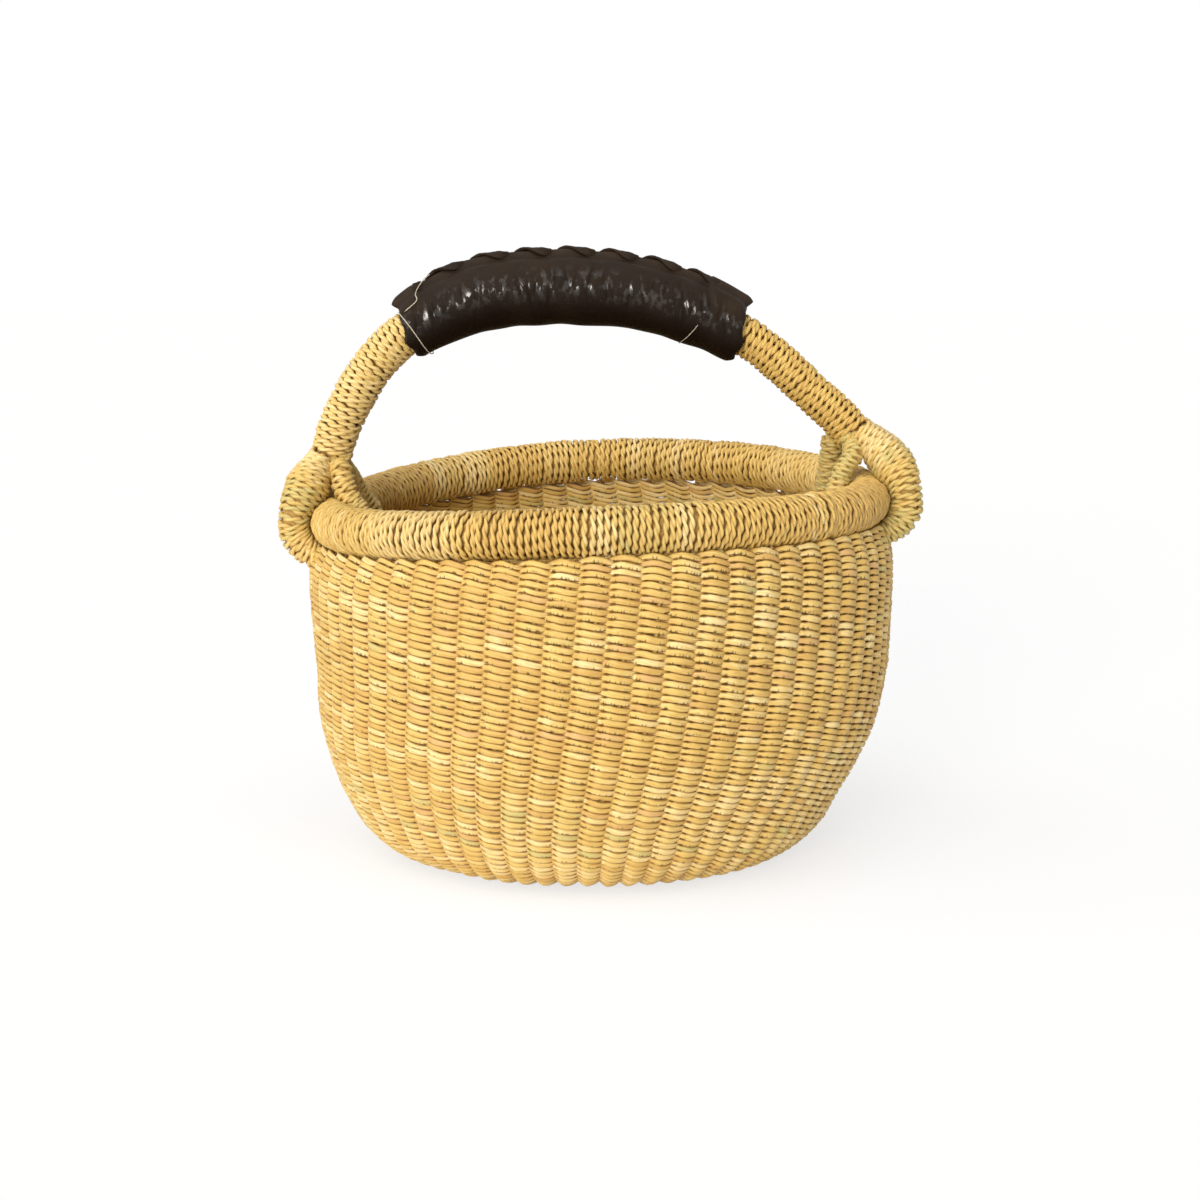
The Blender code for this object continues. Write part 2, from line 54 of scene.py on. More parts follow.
# Outside of the weave from its axis outwards and up, as shares of the body's radius and of the rim's height
OUTLINE_SHARES = (
    (0.0, 0.0),
    (0.286, 0.0),
    (0.515, 0.0),
    (0.629, 0.007),
    (0.701, 0.021),
    (0.748, 0.049),
    (0.800, 0.097),
    (0.847, 0.170),
    (0.905, 0.273),
    (0.953, 0.395),
    (0.976, 0.546),
    (0.991, 0.698),
    (1.000, 0.825),
    (0.991, 0.892),
    (0.967, 0.947),
)
# How far the hand-made body leans sideways, at shares of the rim's height
SWAY_SHARES = ((0, -1), (0.18, -1), (0.36, -0.25), (0.55, 0.35), (0.76, 0.18), (1, 0))
# Least radius at which the weft goes round this many stakes
STAKES_BY_RADIUS = ((0.0, 8), (0.013, 16), (0.027, 32), (0.055, 64))

# The handle's middle line: shares of the way from fork to fork, and of the rise from there to the top
HANDLE_SHARES = (
    (0.0, 0.0),
    (0.022, 0.210),
    (0.080, 0.523),
    (0.158, 0.754),
    (0.280, 0.941),
    (0.443, 1.0),
    (0.598, 0.951),
    (0.729, 0.799),
    (0.827, 0.600),
    (0.929, 0.266),
    (0.974, 0.118),
    (1.0, 0.0),
)
# Way of a loop round the rim: shares of a full turn below the rim's outer side, and of its thinning there
LOOP_WAY_SHARES = ((-0.042, 0), (0.056, 0), (0.153, 0.5), (0.25, 1), (0.361, 1))
# Its way up inside, by side and row: how far in from the rim's middle line and how far above it
LOOP_INSIDE = {
    (-1, -1): ((0.0150, -0.0010), (0.0122, 0.0045), (0.0080, 0.0095), (0.0044, 0.0160), (0.0030, 0.0225)),
    (-1, 1): ((0.0146, -0.0010), (0.0120, 0.0050), (0.0084, 0.0105), (0.0050, 0.0175)),
    (1, -1): ((0.0155, -0.0010), (0.0144, 0.0040), (0.0125, 0.0090), (0.0094, 0.0150), (0.0056, 0.0205)),
    (1, 1): ((0.0152, 0.0), (0.0146, 0.0100), (0.0141, 0.0200), (0.0128, 0.0270)),
}
# Where that way meets the fork: from the inner (-1) to the outer (1) side of the handle's end
LOOP_JOINS = {(-1, -1): -1, (-1, 1): -1, (1, -1): -0.6, (1, 1): -0.8}
# Tone of a loop's strand at even steps from the fork round the rim and back, by side
LOOP_TONES = {-1: (0.66, 0.94, 0.80, 0.70, 0.86, 0.90), 1: (0.52, 0.84, 0.97, 0.94, 0.97, 0.97)}
# Stretches of the rim's binding with a strand of another tone: middle and half width, in turns to the right
# of the rim's front, and the tone
RIM_TONES = (
    (-0.195, 0.050, 0.36),
    (-0.105, 0.028, 0.60),
    (-0.035, 0.030, 0.34),
    (0.0215, 0.0205, 0.90),
    (0.105, 0.030, 0.36),
    (0.190, 0.045, 0.24),
    (0.460, 0.015, 0.88),
    (0.405, 0.034, 0.42),
    (0.500, 0.020, 0.40),
    (0.560, 0.018, 0.30),
    (0.610, 0.014, 0.86),
    (0.665, 0.036, 0.28),
)
# Stitching threads: distance along the grip and turn round it, both from where they start at its top
THREAD_WAYS = {
    "left_grip_thread": (
        ((0.0056, 0.75), (0.0062, 1.6), (0.0072, 3.14), (0.0062, 4.7), (0.0056, 5.53)),
        ((0.0240, 6.30), (0.0185, 6.05), (0.0160, 5.75), (0.0150, 5.45), (0.0080, 5.35)),
    ),
    "right_grip_thread": (((0.1405, 2.9), (0.1415, 3.5), (0.1435, 4.0), (0.1450, 4.45)),),
}
# Radius of the leather from its left end to its right end, as shares of its greatest radius
GRIP_RADIUS_SHARES = (0.84, 0.90, 0.97, 1.0, 1.0, 1.0, 0.99, 0.97, 0.95, 0.90, 0.86)

# Middle of the leather, as a share of the handle's length, and how far the arms' windings go on under it
GRIP_MIDDLE_SHARE = 0.497
UNDER_LEATHER = 0.009

# Each end of the handle's middle line: how far it is out from the rim's middle line, and how far above it
FORKS = {-1: (0.0026, 0.0298), 1: (-0.0056, 0.0299)}
# Half the spread of the loops where they meet the handle's end
FORK_SPREAD = 0.0045
# A loop's shoulder over the rim: how far out and up it is, how much thicker than the loop, and its distance
# from the handle's plane as a share of the loop's
SHOULDER_OUT = 0.0124
SHOULDER_UP = 0.0168
SHOULDER_SWELL = 0.0028
SHOULDER_OFFSET_SHARE = 0.62
# Radius of a loop's part below and inside the rim: of the left front and right rear loops, and of the others
LOOP_THIN_RADIUS = {1: 0.0056, -1: 0.0051}
# How far a loop's radius reaches into the rim's binding, and how far its winding stands out of that radius
LOOP_PRESS = 0.0002
LOOP_WINDING_PROUD = 0.0003
# How much thinner the stems inside a loop are than its radius
STEMS_INSET = 0.0020
# Turns of a loop's winding are this much closer together than the arms'
LOOP_PITCH_SHARE = 0.88

# A weft strand's phase is 0 where it passes in front of a stake and pi where it passes behind the next one.
# A stitch widens from this phase before its stake, over this stretch
STITCH_START = 2.3
STITCH_WIDENING = 1.15
# From its start, where a stitch narrows again, over what stretch and by what share
STITCH_NARROWING_START = 2.5
STITCH_NARROWING = 1.8
STITCH_NARROWED = 0.42
# A strand's half width where a stitch starts, and what a full stitch adds, as shares of the row pitch
STITCH_LEAST_HALF = 0.20
STITCH_ADDED_HALF = 0.28
STATIONS_PER_STITCH = 8
# Height at which the base's weave ends and the wall's begins
FOOT_HEIGHT = 0.003
# Distance up the wall in which the rows crowd a little, spread, and crowd again
BEAT_HEIGHT = 0.09
# Distance from the base's middle over which the rows' waviness grows to its full size
WAVY_FROM = 0.05
# The weave is painted paler towards the base, as painted light bounced up from the floor, from 1.6 to 2.6
# times this far below its top
PALE_STEP = 0.05

# Odd strands among the rest: their range in a draw from 0 to 1, and the tones they take
ODD_STRANDS = ((-1, 0.04, 0.0, 0.16), (0.95, 1, 0.88, 1.0), (0.87, 0.95, 0.66, 0.76))
# Length over which the two plies of a cord turn once round each other
PLY_TWIST = 0.0115
# Each strip of a strand's map starts this far up its row, and fills this share of it
CHART_MARGIN = 0.06
CHART_SHARE = 0.88

FIBRE_COUNT = 260
FIBRE_RADIUS = 0.00016

# Sun lamps: where each one shines from, its strength, its spread and its colour
LAMPS = {
    "key": ((-1.25, -0.60, 1.05), 1.15, 1.4, (1.0, 1.0, 1.0)),
    "front": ((-0.34, -1.0, 0.22), 2.20, 0.35, (1.0, 0.955, 0.88)),
    "top": ((0.0, -0.40, 1.0), 1.0, 0.8, (1.0, 1.0, 0.99)),
}
SKY_STRENGTH = 0.35
# Share of the floor's look that is its own even white, where the rest is the light and shadow on it
FLOOR_GLOW = 0.72
FLOOR_HALF = 4.0
CAMERA_PLACE = (0, -1.2313, 0.332)
CAMERA_AIM = (0, 0, 0.1164)
CAMERA_LENS = 78.75
CAMERA_SENSOR = 36

Y_AXIS = np.array((0.0, 1.0, 0.0))
Z_AXIS = np.array((0.0, 0.0, 1.0))
# Step by which the body's directions are read off its surface
SURFACE_STEP = 0.0002


def length(name, description, default):
    return bpy.props.FloatProperty(name=name, description=description, default=default, unit="LENGTH")


def colour(name, description, default):
    return bpy.props.FloatVectorProperty(
        name=name, description=description, default=default, subtype="COLOR", min=0, max=1
    )


def number(name, description, default):
    return bpy.props.IntProperty(name=name, description=description, default=default, min=1)


class BasketBodySizes(bpy.types.PropertyGroup):
    """Sizes of the woven body."""

    radius: length("Radius", "Outside of the weave where it is widest", 0.1398)
    rim_height: length("Rim height", "Height of the rim's middle line", 0.16475)
    top_height: length("Weave top", "Height of the highest row of weft", 0.1553)
    row_pitch: length("Row pitch", "From one row of weft to the next", 0.00307)
    stakes: number("Stakes", "Stakes round the wall", 64)
    stake_radius: length("Stake radius", "Radius of one stake", 0.0011)
    stake_depth: length("Stake depth", "From the outside to the middle of the stakes", 0.0029)
    weft_reach: length("Weft reach", "From the stakes' middle to the weft's middle line over them", 0.0017)
    weft_thickness: length("Weft thickness", "Thickness of a strand over a stake", 0.0024)
    tilt: length("Tilt", "How much higher the right end of the rim is than its middle", 0.00525)
    saddle: length("Saddle", "How much lower the rim's ends are than its middle", 0.0035)
    squeeze: bpy.props.FloatProperty(
        name="Squeeze", description="How much narrower the rim is along the handle", default=0.02,
        subtype="FACTOR",
    )
    sway: length("Sway", "How far the foot stands to one side", 0.0040)
    twist: bpy.props.FloatProperty(
        name="Twist", description="Turn of the stakes from base to rim", default=0.11, unit="ROTATION"
    )


class BasketRimSizes(bpy.types.PropertyGroup):
    """Sizes of the rim and its binding."""

    radius: length("Radius", "Radius of the rim's middle line", 0.128)
    bound_radius: length("Bound radius", "Radius of the rim's round section", 0.0112)
    turns: number("Turns", "Turns of the binding round the rim", 276)


class BasketHandleSizes(bpy.types.PropertyGroup):
    """Sizes of the handle and of its loops."""

    top: length("Top", "Height of the handle's middle line", 0.2637)
    arm_radius: length("Arm radius", "Radius of the wound arms", 0.0102)
    winding_pitch: length("Winding pitch", "From one turn to the next on the arms and loops", 0.0030)
    loop_radius: length("Loop radius", "Radius of a loop outside the rim", 0.0078)


class BasketGripSizes(bpy.types.PropertyGroup):
    """Sizes of the leather grip."""

    length: length("Length", "Length of the leather along the handle", 0.168)
    radius: length("Radius", "Radius of the leather where it is thickest", 0.0164)
    hump_pitch: length("Stitch pitch", "From one stitch of the lacing to the next", 0.0185)
    seam_height: length("Seam height", "Height of the seam along the top", 0.0020)


class BasketFinishes(bpy.types.PropertyGroup):
    """Colours of the basket and its surroundings."""

    orange: colour("Orange strand", "Reddest of the grass strands", (0.68, 0.43, 0.16))
    tan: colour("Tan strand", "Brownish grass strands", (0.62, 0.39, 0.10))
    straw: colour("Straw strand", "Most of the grass strands", (0.72, 0.50, 0.14))
    pale: colour("Pale strand", "Palest of the grass strands", (0.86, 0.68, 0.32))
    green: colour("Green strand", "Greenish grass strands", (0.60, 0.50, 0.18))
    # Colour of the painted shade on the grass, mixed in where strands dip below others and along their edges
    shadow: colour("Tucked grass", "Grass where a strand dips below another", (0.24, 0.10, 0.015))
    # Colour of painted dark dots of shade along the lower edges of strands, standing in for shadowed gaps
    hole: colour("Gaps", "Small gaps along the frayed edge of a strand", (0.045, 0.022, 0.004))
    bundle: colour("Bundle", "Grass stems inside the bindings", (0.30, 0.16, 0.04))
    leather: colour("Leather", "Dark leather of the grip", (0.0065, 0.0030, 0.0010))
    # Colour of real wear and of painted light on the leather: where it stands proud, and along its top
    worn: colour("Worn leather", "Leather where hands have rubbed it", (0.030, 0.018, 0.010))
    thread: colour("Thread", "Stitching thread and frayed ends", (0.62, 0.56, 0.42))
    floor: colour("Floor", "Floor and backdrop", (1.0, 1.0, 1.0))


class Socket:
    """An output of a node, with arithmetic that adds Math nodes."""

    def __init__(self, maker, output):
        self.maker = maker
        self.output = output

    def maths(self, operation, *values):
        node = self.maker.node("ShaderNodeMath", {"operation": operation}, dict(enumerate(values)))
        return Socket(self.maker, node.outputs[0])

    def __add__(self, other):
        return self.maths("ADD", self, other)

    def __sub__(self, other):
        return self.maths("SUBTRACT", self, other)

    def __rsub__(self, other):
        return self.maths("SUBTRACT", other, self)

    def __mul__(self, other):
        return self.maths("MULTIPLY", self, other)

    def __pow__(self, other):
        return self.maths("POWER", self, other)

    __radd__ = __add__
    __rmul__ = __mul__

    def within(self, low, high):
        """0 at low, 1 at high, and smooth between."""
        node = self.maker.node(
            "ShaderNodeMapRange",
            {"interpolation_type": "SMOOTHSTEP"},
            {"Value": self, "From Min": low, "From Max": high},
        )
        return Socket(self.maker, node.outputs["Result"])


class Nodes:
    """A tree of shader nodes under construction."""

    def __init__(self, owner):
        owner.use_nodes = True
        self.tree = owner.node_tree

    def node(self, kind, settings=None, inputs=None):
        """A node whose settings are made first, then its sockets by name or place."""
        made = self.tree.nodes.new(kind)
        for setting, value in (settings or {}).items():
            if setting == "stops":
                self.set_stops(made.color_ramp, value)
            else:
                setattr(made, setting, value)
        for socket, value in (inputs or {}).items():
            self.feed(made.inputs[socket], value)
        return made

    def set_stops(self, ramp, stops):
        while len(ramp.elements) < len(stops):
            ramp.elements.new(1)
        for element, (position, shade) in zip(ramp.elements, stops):
            element.position = position
            element.color = (*shade, 1)

    def feed(self, socket, value):
        if isinstance(value, Socket):
            self.tree.links.new(value.output, socket)
        elif socket.type == "RGBA" and len(value) == 3:
            socket.default_value = (*value, 1)
        else:
            socket.default_value = value

    def attribute(self, name, output="Fac"):
        return Socket(self, self.node("ShaderNodeAttribute", {"attribute_name": name}).outputs[output])

    def scaled(self, vector, scale):
        node = self.node("ShaderNodeVectorMath", {"operation": "MULTIPLY"}, {0: vector, 1: scale})
        return Socket(self, node.outputs[0])

    def noise(self, vector, scale=1.0, detail=2.0, roughness=0.5):
        inputs = {"Vector": vector, "Scale": scale, "Detail": detail, "Roughness": roughness}
        return Socket(self, self.node("ShaderNodeTexNoise", None, inputs).outputs["Fac"])

    def ramp(self, factor, stops):
        node = self.node("ShaderNodeValToRGB", {"stops": stops}, {"Fac": factor})
        return Socket(self, node.outputs["Color"])

    def mix(self, factor, first, second, blend="MIX"):
        node = self.node("ShaderNodeMix", {"data_type": "RGBA", "blend_type": blend})
        sockets = {socket.identifier: socket for socket in node.inputs}
        self.feed(sockets["Factor_Float"], factor)
        self.feed(sockets["A_Color"], first)
        self.feed(sockets["B_Color"], second)
        return Socket(self, {socket.identifier: socket for socket in node.outputs}["Result_Color"])

    def bump(self, height, strength, distance):
        inputs = {"Height": height, "Strength": strength, "Distance": distance}
        return Socket(self, self.node("ShaderNodeBump", None, inputs).outputs["Normal"])

    def shading(self, kind, **inputs):
        return Socket(self, self.node(kind, None, inputs).outputs[0])

    def blend(self, factor, first, second):
        node = self.node("ShaderNodeMixShader", None, {0: factor, 1: first, 2: second})
        return Socket(self, node.outputs[0])


class Finish(Nodes):
    """A material under construction, with one Principled shader."""

    def __init__(self, name):
        self.material = bpy.data.materials.new(name)
        super().__init__(self.material)
        self.shader = self.tree.nodes["Principled BSDF"]

    def surface(self, **inputs):
        for name, value in inputs.items():
            self.feed(self.shader.inputs[name], value)
        return self.material


def finishes():
    return bpy.context.scene.basket_finishes


def once(maker):
    """The material that a maker function makes, made at its first use."""
    name = maker.__name__
    return bpy.data.materials.get(name) or maker(name)


def twined_grass(name):
    """Split grass: each strand has its own tone, with fibres along it, painted shade at its tucked ends and
    along its edges, and painted dark dots of shade along some gaps.
    """
    shades = finishes()
    made = Finish(name)
    fibre = made.attribute("fibre", "Vector")
    fibres = made.noise(made.scaled(fibre, (110, 1700, 1700)), detail=4, roughness=0.65)
    patches = made.noise(made.scaled(fibre, (160, 160, 160)), detail=1)
    tone = made.attribute("tone") + (fibres - 0.5) * 0.34 + (patches - 0.5) * 0.30
    stops = (
        (0.0, shades.orange),
        (0.18, shades.tan),
        (0.45, shades.straw),
        (0.72, shades.pale),
        (0.86, shades.straw),
        (1.0, shades.green),
    )
    grass = made.ramp(tone, stops)
    streaks = made.mix(fibres.within(0.60, 0.30) * 0.40, grass, shades.tan, "MULTIPLY")
    # Painted shade: the shade attribute mixes the grass towards the colour of shade
    shade = made.attribute("shade")
    shaded = made.mix(shade**1.8 * 0.85, streaks, shades.shadow)
    # Painted shade: dark dots in patches along the lower edges of strands, standing in for shadowed gaps
    broken = made.noise(made.scaled(fibre, (900, 60, 60)), detail=1).within(0.50, 0.58)
    gap_shadow_dots = broken * made.attribute("fray").within(0.10, 0.50) * patches.within(0.52, 0.58)
    return made.surface(**{
        "Base Color": made.mix(gap_shadow_dots * 0.85, shaded, shades.hole),
        "Roughness": fibres * 0.25 + 0.42,
        "Normal": made.bump(fibres, 0.6, 0.0005),
    })


def bundled_stems(name):
    """Loose stems inside the bindings."""
    made = Finish(name)
    place = Socket(made, made.node("ShaderNodeTexCoord").outputs["Object"])
    stems = made.noise(made.scaled(place, (900, 900, 90)), detail=2)
    return made.surface(**{
        "Base Color": made.mix(stems, finishes().bundle, finishes().tan),
        "Roughness": stems * 0.2 + 0.7,
        "Normal": made.bump(stems, 0.5, 0.0008),
    })


def dark_leather(name):
    """Wrinkled leather, rubbed smooth where it stands proud, with painted light on its top and painted shade
    underneath.
    """
    made = Finish(name)
    place = Socket(made, made.node("ShaderNodeTexCoord").outputs["Object"])
    grain = made.node("ShaderNodeTexVoronoi", {"feature": "SMOOTH_F1"}, {"Vector": place, "Scale": 1100.0})
    pores = Socket(made, grain.outputs["Distance"])
    creases = made.noise(made.scaled(place, (420, 420, 120)), detail=4, roughness=0.6)
    wear = made.noise(place, 85.0, detail=3)
    # Mix towards the lighter leather: real wear where it stands proud, and painted light along its top,
    # varied by a noise of wear
    rubbed = made.attribute("tone") * (0.45 + wear.within(0.30, 0.70) * 0.55)
    polished = made.noise(made.scaled(place, (330, 200, 200)), detail=3).within(0.50, 0.62)
    return made.surface(**{
        "Base Color": made.mix(rubbed, finishes().leather, finishes().worn),
        "Roughness": 0.50 + wear * 0.2,
        "Specular IOR Level": 0.11,
        "Coat Weight": made.attribute("gloss") * polished,
        "Coat Roughness": 0.20,
        "Normal": made.bump(creases * 0.8 + pores * 0.4, 0.55, 0.0006),
    })


def pale_thread(name):
    made = Finish(name)
    plies = made.noise(made.scaled(made.attribute("fibre", "Vector"), (900, 2500, 2500)))
    return made.surface(**{
        "Base Color": made.mix(plies, finishes().thread, (0.30, 0.26, 0.18)),
        "Roughness": 0.75 + plies * 0.1,
        "Normal": made.bump(plies, 0.4, 0.0002),
    })


def unit(vectors):
    return vectors / np.linalg.norm(vectors, axis=-1, keepdims=True)


def clamped(values):
    return np.clip(values, 0, 1)


def bell(away, width):
    """1 in the middle, falling smoothly to 0 on both sides."""
    return np.exp(-((away / width) ** 2))


def square_to(vectors, ahead):
    """The unit vectors across a heading that are nearest to the given ones."""
    return unit(vectors - (vectors * ahead).sum(-1, keepdims=True) * ahead)


def outwards(turn, upper, side):
    """Unit vectors away from a line, at turns round it from its upper side."""
    return np.cos(turn)[..., None] * upper + np.sin(turn)[..., None] * side


class Line:
    """A smooth line through knots, read at distances along it. Columns past the first axes ride along."""

    def __init__(self, knots, axes=3, steps=12):
        knots = np.array(knots, float)
        held = np.vstack((knots[:1], knots, knots[-1:]))
        t = np.arange(steps)[:, None] / steps
        spans = []
        for a, b, c, d in zip(held, held[1:], held[2:], held[3:]):
            # A cubic stretch from b to c, whose ends lean on a and d
            bend = 2 * a - 5 * b + 4 * c - d
            turn = 3 * b - a - 3 * c + d
            spans.append(b + (c - a) * t / 2 + bend * t**2 / 2 + turn * t**3 / 2)
        self.axes = axes
        self.points = np.vstack((*spans, knots[-1:]))
        steps_taken = np.linalg.norm(np.diff(self.points[:, :axes], axis=0), axis=1)
        self.distances = np.concatenate(([0], np.cumsum(steps_taken)))
        self.length = self.distances[-1]

    def at(self, distance):
        columns = [np.interp(distance, self.distances, column) for column in self.points.T]
        return np.stack(columns, -1)

    def heading(self, distance, reach=0.001):
        ahead = self.at(np.minimum(distance + reach, self.length))
        behind = self.at(np.maximum(distance - reach, 0))
        return unit((ahead - behind)[..., : self.axes])

    def frames(self, distance, reference):
        """Place, and two unit vectors across the line, the second one nearest to the reference."""
        ahead = self.heading(distance)
        across = unit(reference - (ahead @ reference)[..., None] * ahead)
        return self.at(distance)[..., :3], np.cross(ahead, across), across


def leaned(points):
    """Where points of the level round body lie on the leaning hand-made one."""
    body = bpy.context.scene.basket_body
    x, y, z = np.moveaxis(points, -1, 0)
    share = clamped(z / (body.rim_height - bpy.context.scene.basket_rim.bound_radius)) ** 2
    turn = np.arctan2(y, x)
    lift = body.tilt * np.cos(turn) - body.saddle * np.cos(2 * turn)
    return np.stack((x * (1 - body.squeeze * share), y, z + lift * share), -1)


class Body:
    """The woven body, read by the distance out and up its outside, the turn round it and the depth."""

    def __init__(self):
        self.sizes = bpy.context.scene.basket_body
        scale = (self.sizes.radius, self.sizes.rim_height)
        self.outline = Line(np.array(OUTLINE_SHARES) * scale, axes=2)
        heights = self.outline.points[:, 1]
        reached = np.argmax(heights > self.sizes.top_height)
        self.top = self.outline.distances[reached]

    def place(self, along, turn, depth):
        radius, height = np.moveaxis(self.outline.at(along), -1, 0)
        ahead = self.outline.heading(along, 0.004)
        radius = radius - ahead[..., 1] * depth
        height = height + ahead[..., 0] * depth
        level = clamped(height / self.sizes.rim_height)
        turned = turn + self.sizes.twist * level**1.3
        made = leaned(np.stack((radius * np.cos(turned), radius * np.sin(turned), height), -1))
        shares, sways = np.array(SWAY_SHARES).T
        made[..., 0] += self.sizes.sway * np.interp(level, shares, sways)
        return made

    def directions(self, along, turn, depth):
        """Up along the body and out of it."""
        up = self.place(along + SURFACE_STEP, turn, depth) - self.place(along - SURFACE_STEP, turn, depth)
        out = self.place(along, turn, depth - SURFACE_STEP) - self.place(along, turn, depth + SURFACE_STEP)
        return unit(up), unit(out)


def new_mesh(name, points, faces, corner_places, looks, material):
    """A smooth object from arrays: faces of equal size, their corners on the map, and looks per point."""
    mesh = bpy.data.meshes.new(name)
    corners = faces.shape[1]
    mesh.vertices.add(len(points))
    mesh.vertices.foreach_set("co", points.ravel().astype(np.float32))
    mesh.loops.add(faces.size)
    mesh.loops.foreach_set("vertex_index", faces.ravel().astype(np.int32))
    mesh.polygons.add(len(faces))
    mesh.polygons.foreach_set("loop_start", np.arange(0, faces.size, corners, dtype=np.int32))
    chart = mesh.uv_layers.new(name="OFBake")
    chart.uv.foreach_set("vector", corner_places.ravel().astype(np.float32))
    for look, (kind, field, values) in looks.items():
        layer = mesh.attributes.new(look, kind, "POINT")
        layer.data.foreach_set(field, values.ravel().astype(np.float32))
    mesh.update(calc_edges=True)
    mesh.validate()
    mesh.shade_smooth()
    mesh.materials.append(once(material))
    obj = bpy.data.objects.new(name, mesh)
    bpy.context.scene.collection.objects.link(obj)
    return obj


def strands(
    name, centres, wide, out, half_wide, half_thick, tone, shade, material,
    closed=False, sides=6, roundness=1.0, edge_shade=0.42, inner_shade=0.3, inner_tone=0.0,
    slant=0.25, fray=0.0,
):
    """Many strands as one mesh of flattened tubes. Arrays go by strand, then by station along it."""
    if not closed:
        taper = np.ones(centres.shape[1])
        taper[[0, -1]] = 0.02
        half_wide = half_wide * taper
        half_thick = half_thick * taper
    count, stations = half_wide.shape
    turn = math.tau * (np.arange(sides) + 0.5) / sides - math.pi / 2
    across = np.sign(np.cos(turn)) * np.abs(np.cos(turn)) ** roundness * half_wide[..., None]
    proud = np.sign(np.sin(turn)) * np.abs(np.sin(turn)) ** roundness * half_thick[..., None]
    points = centres[:, :, None] + wide[:, :, None] * across[..., None] + out[:, :, None] * proud[..., None]

    steps = np.linalg.norm(np.diff(centres, axis=1, append=centres[:, :1]), axis=-1)
    travelled = np.cumsum(steps, axis=1)
    fibre = np.stack(np.broadcast_arrays(travelled[..., None], across, proud), -1).copy()
    fibre[..., 1] += np.arange(count)[:, None, None] * 0.05 + travelled[..., None] * slant

    index = np.arange(points[..., 0].size).reshape(count, stations, sides)
    here = index if closed else index[:, :-1]
    there = np.roll(index, -1, 1) if closed else index[:, 1:]
    quads = np.stack((here, np.roll(here, -1, 2), np.roll(there, -1, 2), there), -1)
    facing = np.cross(wide, out) * np.gradient(centres, axis=1)
    inside_out = facing.sum() < 0
    if inside_out:
        quads = quads[..., ::-1]

    spans = here.shape[1]
    girth = 4 * (half_wide.mean() + half_thick.mean())
    wanted_rows = max(count, math.sqrt(steps.sum() / girth))
    span = math.ceil(spans / round(wanted_rows / count)) if wanted_rows > 1.5 * count else spans
    rows_each = math.ceil(spans / span)
    station = np.arange(spans)
    row = np.arange(count)[:, None] * rows_each + station // span
    left = np.broadcast_to((station % span)[None, :, None], here.shape)
    low = row[..., None] + CHART_MARGIN + CHART_SHARE * np.arange(sides) / sides
    high = low + CHART_SHARE / sides
    rows = count * rows_each
    chart = np.stack(
        (
            np.stack((left, left, left + 1, left + 1), -1) / span,
            np.stack((low, high, high, low), -1) / rows,
        ),
        -1,
    )
    if inside_out:
        chart = chart[..., ::-1, :]

    # Painted shade along both edges, less so on the inner side, and painted shade over the innermost faces
    edge = np.abs(np.cos(turn)) ** 2 * np.asarray(edge_shade)[..., None]
    edge = edge * np.where(np.sin(turn) < 0, 0.3, 1)
    edge = edge + (np.sin(turn) < -0.6) * np.asarray(inner_shade)[..., None]
    # Lower-edge mask for the painted dark dots of shade
    frayed = fray * clamped(-np.cos(turn)) * np.ones(tone.shape)[..., None]
    looks = {
        # inner_tone makes the inner faces paler: painted light
        "tone": ("FLOAT", "value", tone[..., None] + inner_tone * (np.sin(turn) < -0.3)),
        "shade": ("FLOAT", "value", shade[..., None] + edge),
        "fray": ("FLOAT", "value", frayed),
        "fibre": ("FLOAT_VECTOR", "vector", fibre),
    }
    return new_mesh(name, points.reshape(-1, 3), quads.reshape(-1, 4), chart.reshape(-1, 2), looks, material)


def tones(rng, shape, run=0.3, middle=0.44, spread=0.10):
    """A tone for each stitch of each strand, which lasts for a run of stitches."""
    fresh = rng.random(shape) < run
    fresh[:, 0] = True
    drawn = np.clip(rng.normal(middle, spread, shape), 0.10, 0.66)
    kind = rng.random(shape)
    for least, most, low, high in ODD_STRANDS:
        drawn = np.where((kind > least) & (kind < most), rng.uniform(low, high, shape), drawn)
    last = np.maximum.accumulate(np.where(fresh, np.arange(shape[1]), 0), axis=1)
    return np.take_along_axis(drawn, last, axis=1)


def settle(obj, slot, *nodes):
    """Fixes a piece to the basket and lets it stand for CAD nodes; the slot is not used."""
    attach(obj, "root")
    if nodes:
        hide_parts(*nodes)


def wave(rng, turn, level, terms, climb=60):
    """A gentle unevenness round and up the body, between about -1 and 1."""
    made = np.zeros(np.broadcast(turn, level).shape)
    for times in terms:
        start = rng.uniform(0, math.tau)
        lean = rng.uniform(-1, 1)
        made += np.sin(times * turn + start + lean * level * climb) / len(terms)
    return made


def back_gap(body, along, turn):
    """How far the top rows stop short of the binding at the back, where daylight shows in places."""
    least, widest, tucked_under = 0.0003, 0.0015, 0.0008
    near_top = clamped(along / body.top) ** 12
    turned = turn + body.sizes.twist
    back = clamped((np.sin(turned) - 0.25) / 0.3)
    right = 0.3 + 0.7 * clamped(0.5 + 4 * np.cos(turned))
    bumps = 0.5 + 0.5 * np.sin(23 * turn + 1.3) * np.sin(7 * turn) + 0.25 * np.sin(41 * turn)
    return near_top * (back * (least + widest * right * clamped(bumps) ** 2) - tucked_under * (1 - back))


